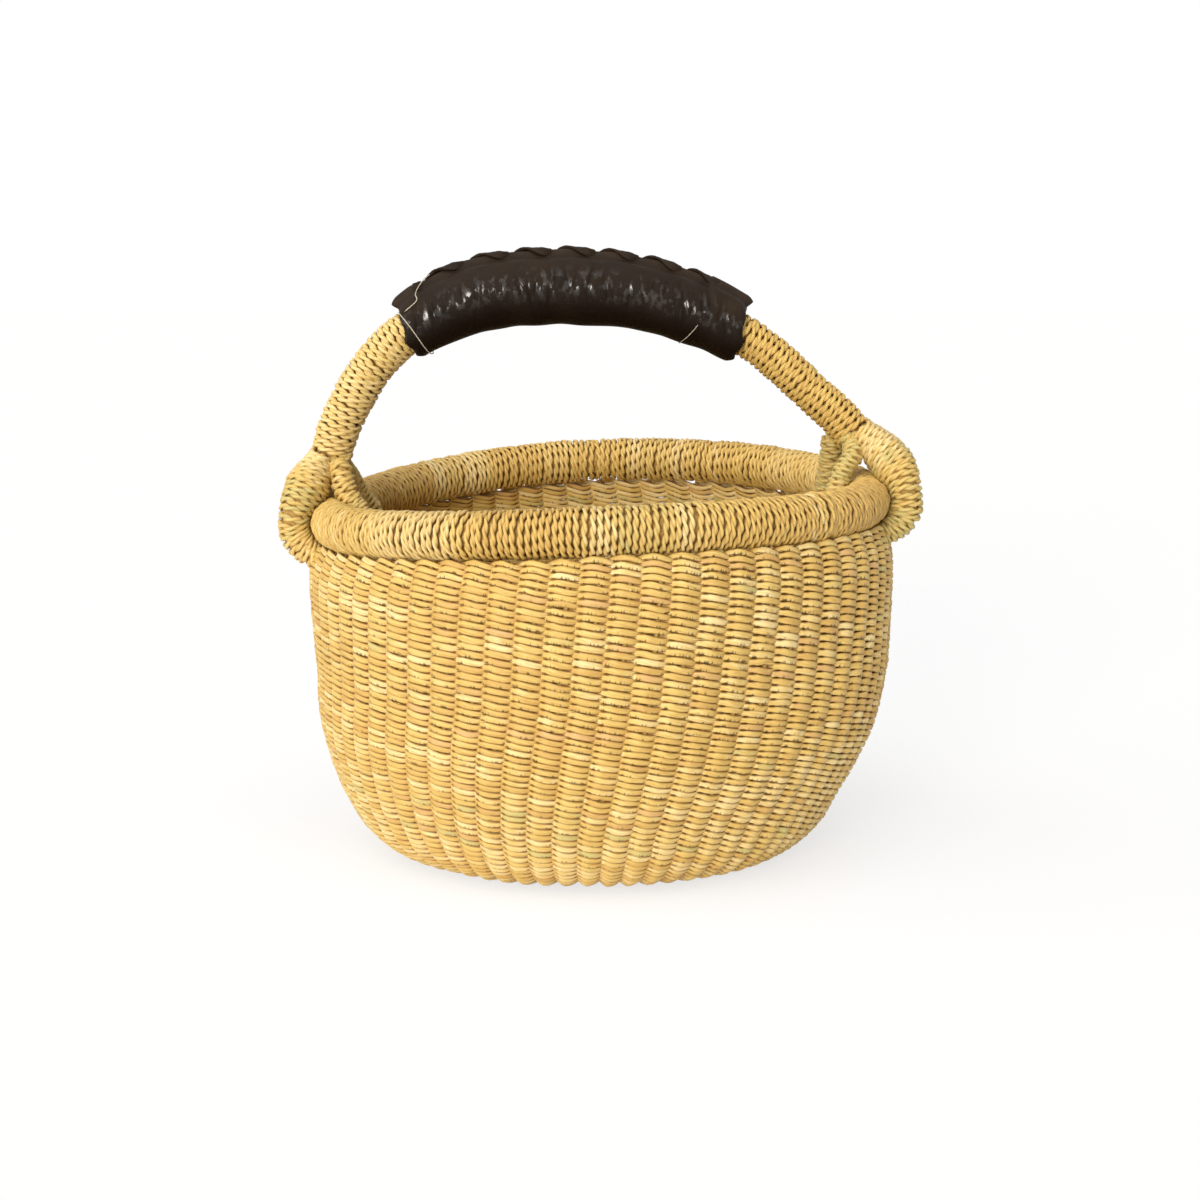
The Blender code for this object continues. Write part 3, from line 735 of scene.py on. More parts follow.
def loop_dip(body, along, turn):
    """How far the top rows give way below each loop, and how much closer together that sets them."""
    deepest, half_width, height, crowding = 0.0038, 0.0075, 0.045, 0.12
    spacing = math.tau / body.sizes.stakes
    near = np.zeros(np.broadcast(along, turn).shape)
    for middle in (0, math.pi):
        for side in (-1.5, 1.5):
            off = np.angle(np.exp(1j * (turn + body.sizes.twist - middle - side * spacing)))
            near = near + bell(off * body.sizes.radius, half_width)
    free = clamped(1 - (body.top - along) / height)
    return deepest * near * free**2, 1 - crowding * near * free


def stitch_growth(phase):
    """Share of its added width that a strand has: narrow at a stitch's ends, and full behind a stake."""
    since_start = np.mod(phase + STITCH_START, math.tau)
    grown = clamped(since_start / STITCH_WIDENING)
    narrowing = clamped((since_start - STITCH_NARROWING_START) / STITCH_NARROWING)
    grown = grown * grown * (3 - 2 * grown) - STITCH_NARROWED * narrowing**1.5
    # Full where the stake hides it, though later on the side where its pointed end can still be seen
    behind = -2.5 * np.cos(phase) - (np.sin(phase) > 0)
    return np.maximum(grown, clamped(behind))


def tucked(phase):
    """Painted shade towards the right end of each stitch, where it dips below the next one."""
    return 0.65 * clamped((np.mod(phase + 2.1, math.tau) - 2.3) / 1.5) ** 2


def weave(body, name, first, last, columns, seed):
    """Rows of twined weft: in each row two strands pass by turns in front of and behind the stakes."""
    sizes = body.sizes
    rng = np.random.default_rng(seed)
    shared = np.random.default_rng(7)
    rows = np.arange(first, last)
    level = (rows + 0.5)[:, None, None] * sizes.row_pitch
    u = np.arange(columns * STATIONS_PER_STITCH) / STATIONS_PER_STITCH
    strand = np.arange(2)[:, None]
    phase = math.pi * (u + strand)[None]
    shape = (2 * len(rows), columns)
    crest = np.cos(phase) ** 2

    def by_stitch(values):
        stitch = np.floor(u + 0.5).astype(int) % columns
        return values.reshape(len(rows), 2, columns)[..., stitch]

    turn = np.broadcast_to(math.tau * u / columns, (len(rows), 2, len(u)))
    rising = clamped(level / WAVY_FROM - 1)
    beat = math.tau * (body.top - level) / BEAT_HEIGHT
    uneven = 0.0009 * wave(shared, turn, level, (3, 5, 8, 13))
    uneven = uneven * clamped(level / WAVY_FROM) + 0.0011 * np.sin(beat) * rising
    lift = by_stitch(rng.normal(0, 0.00022, shape)) * crest
    along = level + uneven + lift - 0.33 * sizes.row_pitch * np.sin(phase)
    dip, closeness = loop_dip(body, along, turn)
    closeness = closeness * (1 - 0.07 * np.cos(beat) * rising)
    along = along - dip - back_gap(body, along, turn)

    swell = 0.0005 * wave(shared, turn, level, (2, 7, 11))
    reach = sizes.weft_reach * (1 + by_stitch(rng.normal(0, 0.05, shape)))
    flattened = np.cos(phase) * (1.45 - 0.45 * np.cos(phase) ** 2)
    depth = sizes.stake_depth - reach * flattened + swell + 0.0010 * np.sin(phase)

    thin = by_stitch(np.where(rng.random(shape) < 0.035, 0.72, rng.normal(1, 0.07, shape)))
    half_share = STITCH_LEAST_HALF + STITCH_ADDED_HALF * stitch_growth(phase) * thin
    half_wide = sizes.row_pitch * half_share * closeness
    half_thick = sizes.weft_thickness / 2 * (0.62 + 0.20 * crest)

    tone = by_stitch(tones(rng, shape))
    broad_patches = 0.08 * wave(shared, turn, level, (3, 5, 9))
    small_patches = 0.10 * wave(shared, turn, level, (17, 25, 34, 43), 300)
    tone = tone + broad_patches + small_patches
    # Painted light: paler towards the base, for light bounced up from the floor
    tone = tone - 0.07 + 0.15 * clamped((body.top - level) / PALE_STEP - 1.6)
    # Painted shade along the edges, heavier towards each stitch's right end, and painted shade that follows
    # the stitches seen from inside
    edge_shade = 1.0 + 0.32 * np.sin(phase) * np.sign(np.cos(phase))
    inner_shade = 0.5 * tucked(phase + math.pi) - tucked(phase)

    up, out = body.directions(along, turn, depth)
    centres = body.place(along, turn, depth)
    flat = (2 * len(rows), len(u))
    widths, thicknesses, shades, edges, inner = (
        np.broadcast_to(values, tone.shape).reshape(flat)
        for values in (half_wide, half_thick, tucked(phase), edge_shade, inner_shade)
    )
    # The wall's inner faces are made paler by inner_tone: painted light
    return strands(
        name, centres.reshape(*flat, 3), up.reshape(*flat, 3), out.reshape(*flat, 3), widths, thicknesses,
        tone.reshape(flat), shades, twined_grass, closed=True, sides=8, roundness=0.6,
        edge_shade=edges, inner_shade=inner, inner_tone=0.12, slant=0.10, fray=1.0,
    )


class BASKET_OT_weave(bpy.types.Operator):
    """Twine the weft of the base and the wall"""

    bl_idname = "basket.weave"
    bl_label = "Weave"

    def execute(self, context):
        body = Body()
        pitch = body.sizes.row_pitch
        rows = int(body.top / pitch)
        distances = body.outline.distances
        radii, heights = body.outline.points.T
        starts = [int(distances[np.argmax(radii >= radius)] / pitch) for radius, _ in STAKES_BY_RADIUS]
        starts[0] = 1
        foot = int(distances[np.argmax(heights > FOOT_HEIGHT)] / pitch)
        edge = (starts[-1] + foot) // 2
        seed = 11
        bands = []
        for (radius, columns), first, last in zip(STAKES_BY_RADIUS, starts, (*starts[1:], edge)):
            bands.append((f"base_weave_over_{columns}_stakes", first, last, columns, "base"))
        cuts = np.linspace(foot, rows, 6).astype(int)
        for name, first, last in zip(("lowest", "lower", "middle", "upper", "top"), cuts, cuts[1:]):
            bands.append((f"wall_weave_{name}", first, last, body.sizes.stakes, "wall"))
        bands.append(("base_weave_edge", edge, foot, body.sizes.stakes, "base"))
        for name, first, last, columns, part in bands:
            made = weave(body, name, first, last, columns, seed)
            nodes = (
                ("base_underside_weave", "base_inside_weave")
                if part == "base"
                else ("wall_outer_weave", "wall_inner_weave")
            )
            settle(made, "grass_outside", *nodes)
            seed += 1
        return {"FINISHED"}


class BASKET_OT_stakes(bpy.types.Operator):
    """Set the stakes that the weft is twined round"""

    bl_idname = "basket.stakes"
    bl_label = "Stakes"

    def execute(self, context):
        body = Body()
        sizes = body.sizes
        stations = 60
        end = body.outline.length
        starts = np.zeros(sizes.stakes)
        for radius, count in STAKES_BY_RADIUS:
            fresh = np.arange(sizes.stakes) % (sizes.stakes // count) == 0
            older = np.arange(sizes.stakes) % (2 * sizes.stakes // count) == 0
            starts[fresh & ~older] = radius
        share = np.concatenate(((0.0, 0.002), np.linspace(0.01, 1, stations - 2)))
        along = starts[:, None] + (end - starts[:, None]) * share
        turn = np.broadcast_to((math.tau * np.arange(sizes.stakes) / sizes.stakes)[:, None], along.shape)
        depth = np.full(along.shape, sizes.stake_depth)
        up, out = body.directions(along, turn, depth)
        side = np.cross(up, out)
        rng = np.random.default_rng(5)
        tone = np.broadcast_to(rng.normal(0.35, 0.08, (sizes.stakes, 1)), along.shape)
        radius = np.full(along.shape, sizes.stake_radius)
        # Every stake carries painted shade at half strength all along it
        made = strands(
            "stake_rods", body.place(along, turn, depth), side, out, radius, radius, tone,
            np.full(along.shape, 0.5), twined_grass,
        )
        settle(made, "grass_bundle", "stakes")
        return {"FINISHED"}


def twisted(
    name, line, reference, start, end, turns, radius, tone, seed,
    ply=0.00088, per_turn=38, unrest=1.0, depth_shade=0.35,
):
    """A cord of two twisted plies, wound round a line at a radius that may vary along it."""
    rng = np.random.default_rng(seed)
    count = int(round(turns * per_turn))
    share = np.linspace(0, 1, count)
    angle = math.tau * turns * share
    pitch = (end - start) / turns
    knots = np.linspace(0, 1, int(turns) + 2)
    slant = np.interp(share, knots, rng.normal(0, 0.20, len(knots)))
    lean = np.interp(share, knots, rng.normal(0, 0.14, len(knots)))
    proud = np.interp(share, knots, rng.normal(0, 0.00022, len(knots)))
    ends = clamped(np.minimum(share, 1 - share) * turns / 2)
    sideways = (slant * np.sin(angle + 1) + lean * np.cos(2 * angle)) * pitch * unrest * ends
    distance = start + (end - start) * share + sideways
    place, upper, side = line.frames(distance, reference)
    thickness = radius(distance) if callable(radius) else np.full(count, radius)
    thickness = thickness + proud * unrest
    out = outwards(angle, upper, side)
    middle = place + out * (thickness - 1.6 * ply)[:, None]
    ahead = unit(np.gradient(middle, axis=0))
    out = square_to(out, ahead)
    across = np.cross(ahead, out)
    travelled = np.cumsum(np.linalg.norm(np.diff(middle, axis=0, prepend=middle[:1]), axis=1))
    twists = travelled[-1] / PLY_TWIST
    drift = 0.25 * np.sin(math.tau * share * turns / 3.7 + rng.uniform(0, 6))
    phase = math.tau * twists * travelled / travelled[-1] + drift
    centres, wides, outs, tone_rows = [], [], [], []
    stretch = max(3, int(per_turn * 1.6))
    spots = count // stretch + 2
    for strand in range(2):
        turned = phase + math.pi * strand
        centres.append(
            middle
            + across * (np.cos(turned) * 0.74 * ply)[:, None]
            + out * (np.sin(turned) * 0.60 * ply)[:, None]
        )
        wides.append(across)
        outs.append(out)
        runs = tones(rng, (1, spots), run=0.5, middle=0, spread=0.09)[0]
        runs = np.where(runs > 0.5, rng.normal(0.0, 0.2, spots), runs - 0.1)
        tone_rows.append(tone(distance) + np.interp(np.arange(count) / stretch, np.arange(spots), runs))
    half = np.full((2, count), ply) * (1 + 0.10 * np.sin(2 * phase + 1))
    # Painted shade on each ply where it turns in towards the other ply and the line it is wound round
    dim = np.stack([depth_shade * (1 - np.sin(phase + math.pi * strand)) for strand in range(2)])
    return strands(
        name, np.array(centres), np.array(wides), np.array(outs), half, half * 0.92,
        clamped(np.array(tone_rows)), dim, twined_grass,
    )


def even_tone(value):
    return lambda distance: np.full(distance.shape, value)


class BASKET_OT_rim(bpy.types.Operator):
    """Wind the rim's binding"""

    bl_idname = "basket.rim"
    bl_label = "Rim binding"

    def execute(self, context):
        sizes = context.scene.basket_rim
        height = context.scene.basket_body.rim_height
        turn = np.linspace(0, math.tau, 129)
        x, y = sizes.radius * np.cos(turn), sizes.radius * np.sin(turn)
        line = Line(leaned(np.stack((x, y, np.full(turn.shape, height)), -1)), steps=4)

        def tone(distance):
            around = distance / line.length + 0.25
            made = 0.48 + 0.04 * np.sin(5 * math.tau * around + 1) + 0.04 * np.sin(11 * math.tau * around)
            # Painted light: the binding is made paler towards the back of the rim
            made = made + 0.05 * (1 - np.cos(math.tau * around))
            for middle, half, wanted in RIM_TONES:
                away = (around - middle + 0.5) % 1 - 0.5
                made = made + (wanted - made) / (1 + (away / half) ** 8)
            return made

        for name, first, last, seed in (("back", 0.0, 0.5, 31), ("front", 0.5, 1.0, 32)):
            made = twisted(
                f"rim_binding_{name}", line, Z_AXIS, first * line.length, last * line.length,
                sizes.turns / 2, sizes.bound_radius, tone, seed,
            )
            settle(made, "grass_outside", "rim_binding")
        return {"FINISHED"}


def rim_middle(angle):
    rim = bpy.context.scene.basket_rim
    height = bpy.context.scene.basket_body.rim_height
    return leaned(np.array((rim.radius * math.cos(angle), rim.radius * math.sin(angle), height)))


def loop_turn():
    return 1.5 * math.tau / bpy.context.scene.basket_body.stakes


def fork(side):
    """The end of the handle's middle line above the rim, on the left (-1) or right (+1)."""
    out, rise = FORKS[side]
    rim = rim_middle((math.pi if side < 0 else 0) + loop_turn())
    return np.array((rim[0] + side * out, 0, rim[2] + rise))


def handle_line():
    top = bpy.context.scene.basket_handle.top
    left, right = fork(-1), fork(1)
    knots = []
    for way, rise in HANDLE_SHARES:
        level = left + (right - left) * way
        level[2] += rise * (top - level[2])
        knots.append(level)
    return Line(knots)


def grip_start(handle):
    return handle.length * GRIP_MIDDLE_SHARE - bpy.context.scene.basket_grip.length / 2


class BASKET_OT_arms(bpy.types.Operator):
    """Wind the two bare arms of the handle"""

    bl_idname = "basket.arms"
    bl_label = "Arm windings"

    def execute(self, context):
        sizes = context.scene.basket_handle
        handle = handle_line()
        first = grip_start(handle) + UNDER_LEATHER
        last = grip_start(handle) + context.scene.basket_grip.length - UNDER_LEATHER
        arms = (
            ("left", 0.0005, first, even_tone(0.56), sizes.arm_radius * 1.03, 41),
            ("right", last, handle.length - 0.0005, even_tone(0.36), sizes.arm_radius * 0.97, 42),
        )
        for name, start, end, tone, radius, seed in arms:
            turns = (end - start) / sizes.winding_pitch
            made = twisted(
                f"{name}_arm_cord", handle, Y_AXIS, start, end, turns, radius, tone, seed, ply=0.00104,
                unrest=0.8, depth_shade=0.16,
            )
            settle(made, "grass_outside", f"{name}_arm_winding")
        return {"FINISHED"}


def loop_line(side, row):
    """Middle line and radius of a loop, from the fork over the rim's outside and under it to its inside."""
    sizes = bpy.context.scene.basket_handle
    handle = handle_line()
    end = handle.length if side > 0 else 0.0
    down = handle.heading(np.array(end)) * side
    place = fork(side)
    out = np.array((-down[2], 0, down[0])) * side
    middle = rim_middle((0 if side > 0 else math.pi) + loop_turn() * row * side)
    outward = np.array((side, 0.0, 0.0))
    thin = LOOP_THIN_RADIUS[side * row]
    reach = bpy.context.scene.basket_rim.bound_radius - LOOP_PRESS

    def at_fork(share, distance, radius):
        spot = place + down * distance + share * FORK_SPREAD * out + Y_AXIS * row * FORK_SPREAD
        return (*spot, radius)

    def round_rim(way, thinning):
        turn = math.tau * way
        radius = sizes.loop_radius + (thin - sizes.loop_radius) * thinning
        spot = middle + (reach + radius) * (math.cos(turn) * outward - math.sin(turn) * Z_AXIS)
        return (*spot, radius)

    def inside(inwards, rise):
        spread = 1 - 0.5 * clamped(rise / 0.024)
        spot = middle - inwards * outward + rise * Z_AXIS
        return (spot[0], middle[1] * spread, spot[2], thin)

    shoulder = middle + SHOULDER_OUT * outward + SHOULDER_UP * Z_AXIS
    knots = [
        at_fork(1, -0.001, 0.0058),
        at_fork(1, 0.0034, 0.0066),
        (shoulder[0], middle[1] * SHOULDER_OFFSET_SHARE, shoulder[2], sizes.loop_radius + SHOULDER_SWELL),
        *(round_rim(way, thinning) for way, thinning in LOOP_WAY_SHARES),
        *(inside(inwards, rise) for inwards, rise in LOOP_INSIDE[side, row]),
        at_fork(LOOP_JOINS[side, row], 0.0024, 0.0049),
        at_fork(LOOP_JOINS[side, row], -0.002, 0.0049),
    ]
    return Line(knots)


class BASKET_OT_loops(bpy.types.Operator):
    """Wind the four loops that hold the handle to the rim"""

    bl_idname = "basket.loops"
    bl_label = "Loop bindings"

    def execute(self, context):
        pitch = context.scene.basket_handle.winding_pitch * LOOP_PITCH_SHARE
        seed = 51
        for side, side_name in ((-1, "left"), (1, "right")):
            for row, row_name in ((-1, "front"), (1, "rear")):
                line = loop_line(side, row)

                def radius(distance):
                    return line.at(distance)[..., 3] + LOOP_WINDING_PROUD

                def tone(distance):
                    steps = np.linspace(0, line.length, len(LOOP_TONES[side]))
                    return np.interp(distance, steps, LOOP_TONES[side])

                made = twisted(
                    f"{side_name}_{row_name}_loop_cord", line, Y_AXIS, 0, line.length, line.length / pitch,
                    radius, tone, seed, ply=0.00105, per_turn=26, unrest=0.6, depth_shade=0.26,
                )
                settle(made, "grass_outside", f"{side_name}_{row_name}_loop_binding")
                distance = np.linspace(0.001, line.length - 0.001, 90)
                place, upper, across = line.frames(distance, Y_AXIS)
                thickness = line.at(distance)[None, :, 3] - STEMS_INSET
                still = np.full(thickness.shape, 0.5)
                stems = strands(
                    f"{side_name}_{row_name}_loop_stems", place[None], across[None], upper[None],
                    thickness, thickness, still, still, bundled_stems, sides=12,
                )
                settle(stems, "grass_bundle", f"{side_name}_{row_name}_loop_core")
                seed += 1
        return {"FINISHED"}


class BASKET_OT_bundles(bpy.types.Operator):
    """Finish the bundles of stems inside the rim, the handle, the loops and the grip"""

    bl_idname = "basket.bundles"
    bl_label = "Bundles"

    def execute(self, context):
        for name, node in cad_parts.items():
            if name.endswith("_core") or name == "grip_padding":
                for slot in node.material_slots:
                    slot.material = once(bundled_stems)
        return {"FINISHED"}


def grip_radius(share):
    grip = bpy.context.scene.basket_grip
    places = np.linspace(0, 1, len(GRIP_RADIUS_SHARES))
    return grip.radius * np.interp(share, places, GRIP_RADIUS_SHARES)


def sleeve_along(share, turn):
    """Distance from the grip's start, on a sleeve whose ends are cut aslant, shorter along the top."""
    length = bpy.context.scene.basket_grip.length
    first = 0.0024 + 0.0028 * np.cos(turn)
    last = length - 0.0016 - 0.0036 * np.cos(turn)
    return first + (last - first) * share


class BASKET_OT_grip(bpy.types.Operator):
    """Sew the leather sleeve round the handle"""

    bl_idname = "basket.grip"
    bl_label = "Leather grip"

    def execute(self, context):
        sizes = context.scene.basket_grip
        handle = handle_line()
        start = grip_start(handle)
        rng = np.random.default_rng(61)
        stations, around = 220, 96
        share = np.linspace(0, 1, stations)[:, None]
        turn = (math.tau * np.arange(around) / around)[None]
        away = np.angle(np.exp(1j * turn))
        reach = grip_radius(share) * np.ones_like(turn)
        lumps = sum(
            rng.uniform(0.3, 1) * np.sin(lengthwise * math.tau * share + around_it * turn + rng.uniform(0, 6))
            for lengthwise, around_it in ((2, 1), (3, 2), (5, 1), (7, 3), (9, 2))
        )
        reach = reach + 0.00020 * lumps
        for side in (-1, 1):
            for place in np.linspace(0.05, 0.95, 34) + rng.normal(0, 0.007, 34):
                high = rng.uniform(1.05, 1.70) * side
                spread = rng.uniform(0.20, 0.50)
                width = rng.uniform(0.0030, 0.0075)
                bend = place + rng.uniform(-0.03, 0.03) * (away - high)
                fold = bell(share - bend, width) * bell(away - high, spread)
                reach = reach - rng.uniform(0.0003, 0.0010) * fold

        seam_half, groove_depth, groove_place, groove_half = 0.0026, 0.0007, 0.0056, 0.0014
        arc = away * reach
        reach = reach + sizes.seam_height * bell(arc, seam_half)
        reach = reach - groove_depth * bell(np.abs(arc) - groove_place, groove_half)

        fold_edge = 0.0016
        right_fold = 1 / (1 + np.exp(-(share - 0.935 + 0.060 * np.cos(away)) / fold_edge))
        left_fold = 1 / (1 + np.exp((share - 0.045 - 0.030 * np.cos(away + 0.5)) / fold_edge))
        covers = np.exp(-((away / 1.0) ** 4))
        reach = reach + 0.0017 * right_fold * covers + 0.0010 * left_fold * covers
        ragged = 0.0009 * np.sin(3 * turn + 1) + 0.0006 * np.sin(7 * turn + 2)
        ends = clamped((0.5 - np.abs(share - 0.5)) / 0.02)
        reach = reach - 0.0014 * (1 - ends) ** 2
        along = start + sleeve_along(share, turn) + ragged * (2 * share - 1) ** 7
        place, upper, side = handle.frames(along, Y_AXIS)
        outer = place + reach[..., None] * outwards(turn, upper, side)

        thickness, lining_stations = 0.0024, 30
        back = np.linspace(1, 0, lining_stations)[:, None] * np.ones_like(turn)
        inner_along = start + sleeve_along(0.006 + 0.988 * back, turn)
        place, upper, side = handle.frames(inner_along, Y_AXIS)
        inner_reach = grip_radius(back) - thickness
        inner = place + inner_reach[..., None] * outwards(turn, upper, side)

        rings = np.concatenate((outer, inner))
        count = len(rings)
        index = np.arange(count * around).reshape(count, around)
        there = np.roll(index, -1, 0)
        quads = np.stack((index, there, np.roll(there, -1, 1), np.roll(index, -1, 1)), -1)
        u = np.arange(count)[:, None] / count + 0 * turn
        v = 0 * u + np.arange(around)[None] / around
        next_u = u + 1 / count
        next_v = v + 1 / around
        chart = np.stack((np.stack((u, next_u, next_u, u), -1), np.stack((v, v, next_v, next_v), -1)), -1)

        raised = clamped((reach - grip_radius(share)) / 0.0012)
        proud = np.concatenate((raised, np.zeros((lining_stations, around))))
        whole = np.broadcast_to(away, (count, around))
        looks = {
            # Tone of the leather: real wear where it stands proud, and painted light that makes the top paler
            # and the underside darker
            "tone": ("FLOAT", "value", 0.35 * proud + 0.65 * clamped(0.5 + 0.6 * np.cos(whole)) ** 1.5),
            "gloss": ("FLOAT", "value", bell(np.abs(whole) - 1.42, 0.34)),
        }
        made = new_mesh(
            "grip_leather_sleeve", rings.reshape(-1, 3), quads.reshape(-1, 4), chart.reshape(-1, 2),
            looks, dark_leather,
        )
        settle(made, "leather", "grip_leather")
        return {"FINISHED"}


class BASKET_OT_lacing(bpy.types.Operator):
    """Lace the seam with a flat thong and tie the thread round each end"""

    bl_idname = "basket.lacing"
    bl_label = "Lacing and threads"

    def execute(self, context):
        sizes = context.scene.basket_grip
        handle = handle_line()
        start = grip_start(handle)
        first, last = 0.0150, sizes.length - 0.0175
        half_width, half_thickness, stations_per_hump = 0.0022, 0.0008, 26
        count = int((last - first) / sizes.hump_pitch * stations_per_hump)
        distance = np.linspace(first, last, count)
        phase = math.tau * (distance - 0.0105) / sizes.hump_pitch
        surface = grip_radius(distance / sizes.length) + sizes.seam_height
        lifted = surface - 0.0005 + 0.0011 * np.cos(phase)
        sway = -0.0034 * np.sin(phase - 0.3)
        place, upper, side = handle.frames(start + distance, Y_AXIS)
        centres = place + upper * lifted[:, None] + side * sway[:, None]
        ahead = unit(np.gradient(centres, axis=0))
        out = upper * (0.55 + 0.45 * np.cos(phase))[:, None] - side * (0.8 * np.sin(phase - 0.3))[:, None]
        out = square_to(out, ahead)
        wide = np.cross(ahead, out)
        shape = (1, count)
        made = strands(
            "grip_thong", centres[None], wide[None], out[None],
            np.full(shape, half_width), np.full(shape, half_thickness), np.full(shape, 0.8), np.zeros(shape),
            dark_leather, sides=8, roundness=0.7,
        )
        settle(made, "leather", "grip_lacing")
        for node, ways in THREAD_WAYS.items():
            rows = []
            for way in ways:
                path = Line(way, axes=2)
                along, turn = path.at(np.linspace(0, path.length, 80)).T
                along = along + 0.0004 * np.sin(3 * turn)
                place, upper, side = handle.frames(start + along, Y_AXIS)
                out = outwards(turn, upper, side)
                lift = 0.0006 + sizes.seam_height * bell(np.sin(turn / 2), 0.1)
                centres = place + out * (grip_radius(along / sizes.length) + lift)[:, None]
                rows.append((centres, np.cross(unit(np.gradient(centres, axis=0)), out), out))
            centres, wide, out = (np.array(column) for column in zip(*rows))
            thin = np.full(centres.shape[:2], 0.00026 if "left" in node else 0.00018)
            made = strands(f"{node}_strand", centres, wide, out, thin, thin, thin, 0 * thin, pale_thread)
            settle(made, "thread", node)
        return {"FINISHED"}


class BASKET_OT_fibres(bpy.types.Operator):
    """Scatter the loose fibres that stand out of hand-twisted grass"""

    bl_idname = "basket.fibres"
    bl_label = "Loose fibres"

    def execute(self, context):
        body = Body()
        rng = np.random.default_rng(71)
        count, stations = FIBRE_COUNT, 6
        share = np.linspace(0, 1, stations)
        turn0 = rng.uniform(0, math.tau, (count, 1))
        along0 = rng.uniform(0.10, body.top, (count, 1))
        run = rng.uniform(0.004, 0.011, (count, 1)) / body.sizes.radius
        turn = turn0 + run * share
        along = along0 + rng.normal(0, 0.0015, (count, 1)) * share
        lifted = 0.0006 + rng.uniform(0.0, 0.0016, (count, 1)) * share**2
        depth = -lifted + 0.0009
        up, out = body.directions(along, turn, depth)
        thin = np.full(along.shape, FIBRE_RADIUS)
        tone = np.broadcast_to(rng.uniform(0.3, 0.72, (count, 1)), along.shape)
        made = strands(
            "loose_fibres", body.place(along, turn, depth), up, out, thin, thin * 0.6, tone,
            np.zeros(along.shape), twined_grass, sides=4,
        )
        settle(made, "grass_outside")
        return {"FINISHED"}


def point_at(obj, place, aim):
    obj.location = place
    obj.rotation_euler = (Vector(aim) - Vector(place)).to_track_quat("-Z", "Y").to_euler()


def sun_lamp(name, place, strength, spread, tint):
    data = bpy.data.lights.new(name, "SUN")
    data.energy = strength
    data.angle = spread
    data.color = tint
    obj = bpy.data.objects.new(name, data)
    bpy.context.scene.collection.objects.link(obj)
    point_at(obj, place, (0, 0, 0))


def seen_ray(maker):
    """1 for what the camera sees, straight or by reflection or through glass."""
    ray = maker.node("ShaderNodeLightPath")
    seen = Socket(maker, ray.outputs["Is Camera Ray"])
    for kind in ("Is Glossy Ray", "Is Transmission Ray"):
        seen = seen.maths("MAXIMUM", seen, Socket(maker, ray.outputs[kind]))
    return seen


def white_floor(name):
    """A floor that shows white, keeps shadows, and lets the underside be seen from below."""
    made = Finish(name)
    shade = finishes().floor
    made.surface(**{"Base Color": shade, "Roughness": 0.9, "Specular IOR Level": 0.0})
    glow = made.shading("ShaderNodeEmission", Color=shade, Strength=1.0)
    lit = made.blend(seen_ray(made) * FLOOR_GLOW, Socket(made, made.shader.outputs[0]), glow)
    back = Socket(made, made.node("ShaderNodeNewGeometry").outputs["Backfacing"])
    whole = made.blend(back, lit, made.shading("ShaderNodeBsdfTransparent"))
    made.feed(made.tree.nodes["Material Output"].inputs["Surface"], whole)
    return made.material


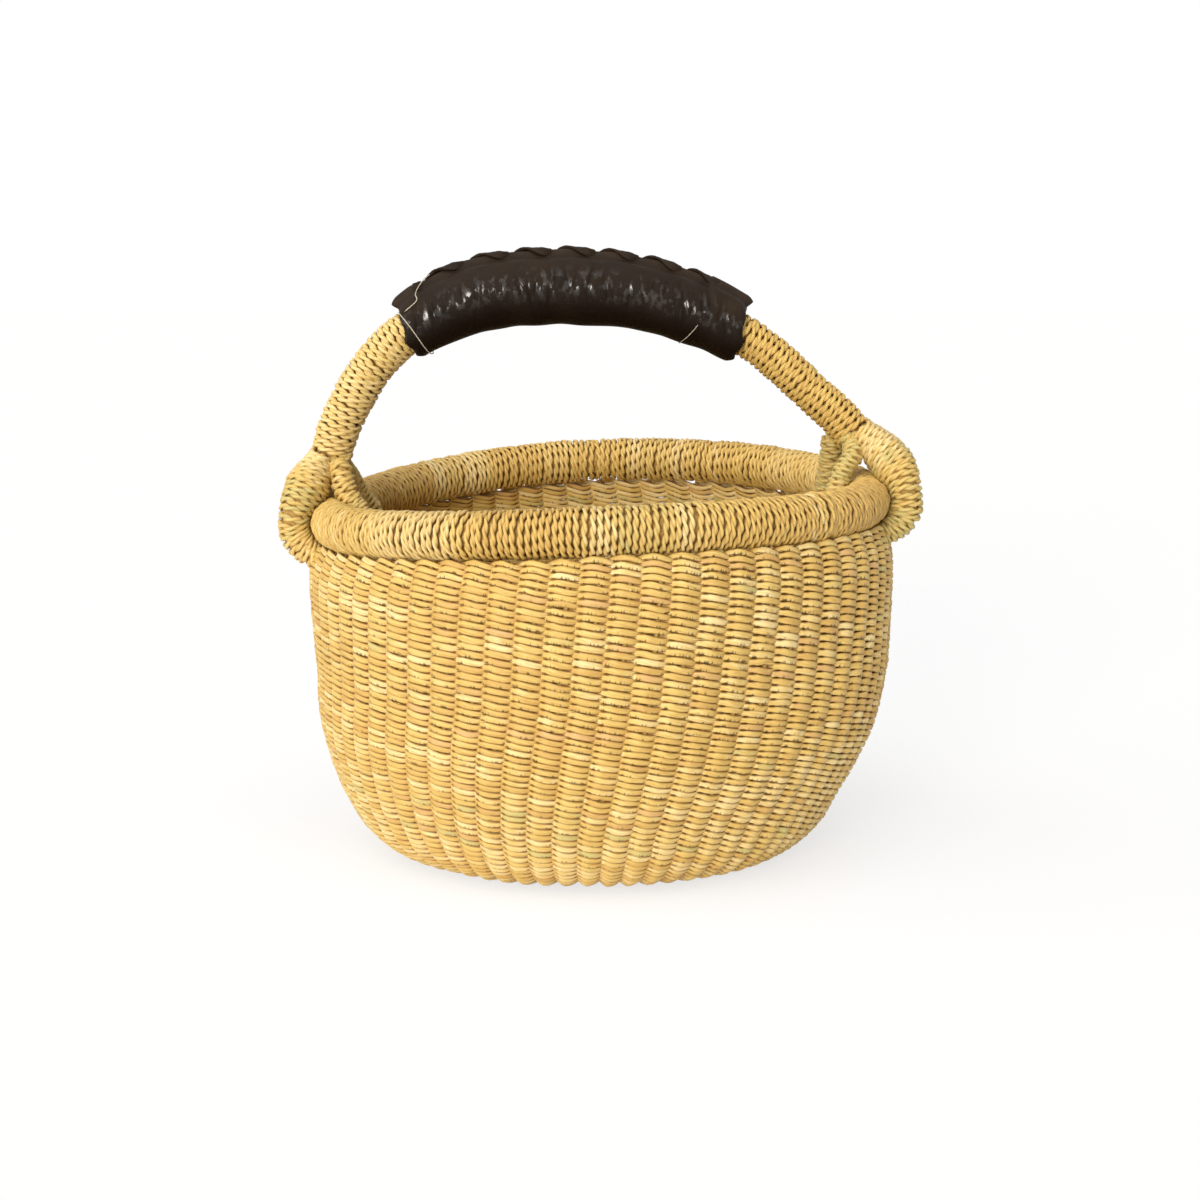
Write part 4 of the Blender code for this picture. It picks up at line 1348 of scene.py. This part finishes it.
class BASKET_OT_stage(bpy.types.Operator):
    """Set the floor, the lights and the camera"""

    bl_idname = "basket.stage"
    bl_label = "Stage"

    def execute(self, context):
        scene = context.scene
        scene.view_settings.view_transform = "Standard"
        mesh = bpy.data.meshes.new("floor")
        corners = [(x * FLOOR_HALF, y * FLOOR_HALF, 0) for x, y in ((-1, -1), (1, -1), (1, 1), (-1, 1))]
        mesh.from_pydata(corners, [], [(0, 1, 2, 3)])
        mesh.materials.append(once(white_floor))
        floor = bpy.data.objects.new("floor", mesh)
        scene.collection.objects.link(floor)

        scene.world = bpy.data.worlds.new("studio")
        sky = Nodes(scene.world)
        sky.tree.nodes.clear()
        soft = sky.shading("ShaderNodeBackground", Color=(1.0, 1.0, 1.0), Strength=SKY_STRENGTH)
        white = sky.shading("ShaderNodeBackground", Color=finishes().floor, Strength=1.0)
        outside = sky.blend(seen_ray(sky), soft, white)
        sky.node("ShaderNodeOutputWorld", None, {"Surface": outside})

        for name, lamp in LAMPS.items():
            sun_lamp(name, *lamp)

        camera = bpy.data.objects.new("camera", bpy.data.cameras.new("camera"))
        scene.collection.objects.link(camera)
        camera.data.sensor_width = CAMERA_SENSOR
        camera.data.lens = CAMERA_LENS
        point_at(camera, CAMERA_PLACE, CAMERA_AIM)
        scene.camera = camera
        return {"FINISHED"}


OPERATORS = (
    BASKET_OT_stakes,
    BASKET_OT_weave,
    BASKET_OT_rim,
    BASKET_OT_arms,
    BASKET_OT_loops,
    BASKET_OT_bundles,
    BASKET_OT_grip,
    BASKET_OT_lacing,
    BASKET_OT_fibres,
    BASKET_OT_stage,
)
GROUPS = {
    "basket_body": BasketBodySizes,
    "basket_rim": BasketRimSizes,
    "basket_handle": BasketHandleSizes,
    "basket_grip": BasketGripSizes,
    "basket_finishes": BasketFinishes,
}


class BASKET_PT_sidebar(bpy.types.Panel):
    """Sizes, finishes and steps of the basket"""

    bl_label = "Twined Basket"
    bl_idname = "BASKET_PT_sidebar"
    bl_space_type = "VIEW_3D"
    bl_region_type = "UI"
    bl_category = "Basket"

    def draw(self, context):
        for group in GROUPS:
            box = self.layout.box()
            settings = getattr(context.scene, group)
            for name in settings.__annotations__:
                box.prop(settings, name)
        for operator in OPERATORS:
            self.layout.operator(operator.bl_idname)


def register():
    for name, group in GROUPS.items():
        bpy.utils.register_class(group)
        setattr(bpy.types.Scene, name, bpy.props.PointerProperty(type=group))
    for shown in (*OPERATORS, BASKET_PT_sidebar):
        bpy.utils.register_class(shown)


def unregister():
    for shown in (BASKET_PT_sidebar, *reversed(OPERATORS)):
        bpy.utils.unregister_class(shown)
    for name, group in GROUPS.items():
        delattr(bpy.types.Scene, name)
        bpy.utils.unregister_class(group)


def main():
    register()
    for operator in OPERATORS:
        group, name = operator.bl_idname.split(".")
        getattr(getattr(bpy.ops, group), name)()


if __name__ == "__main__":
    main()
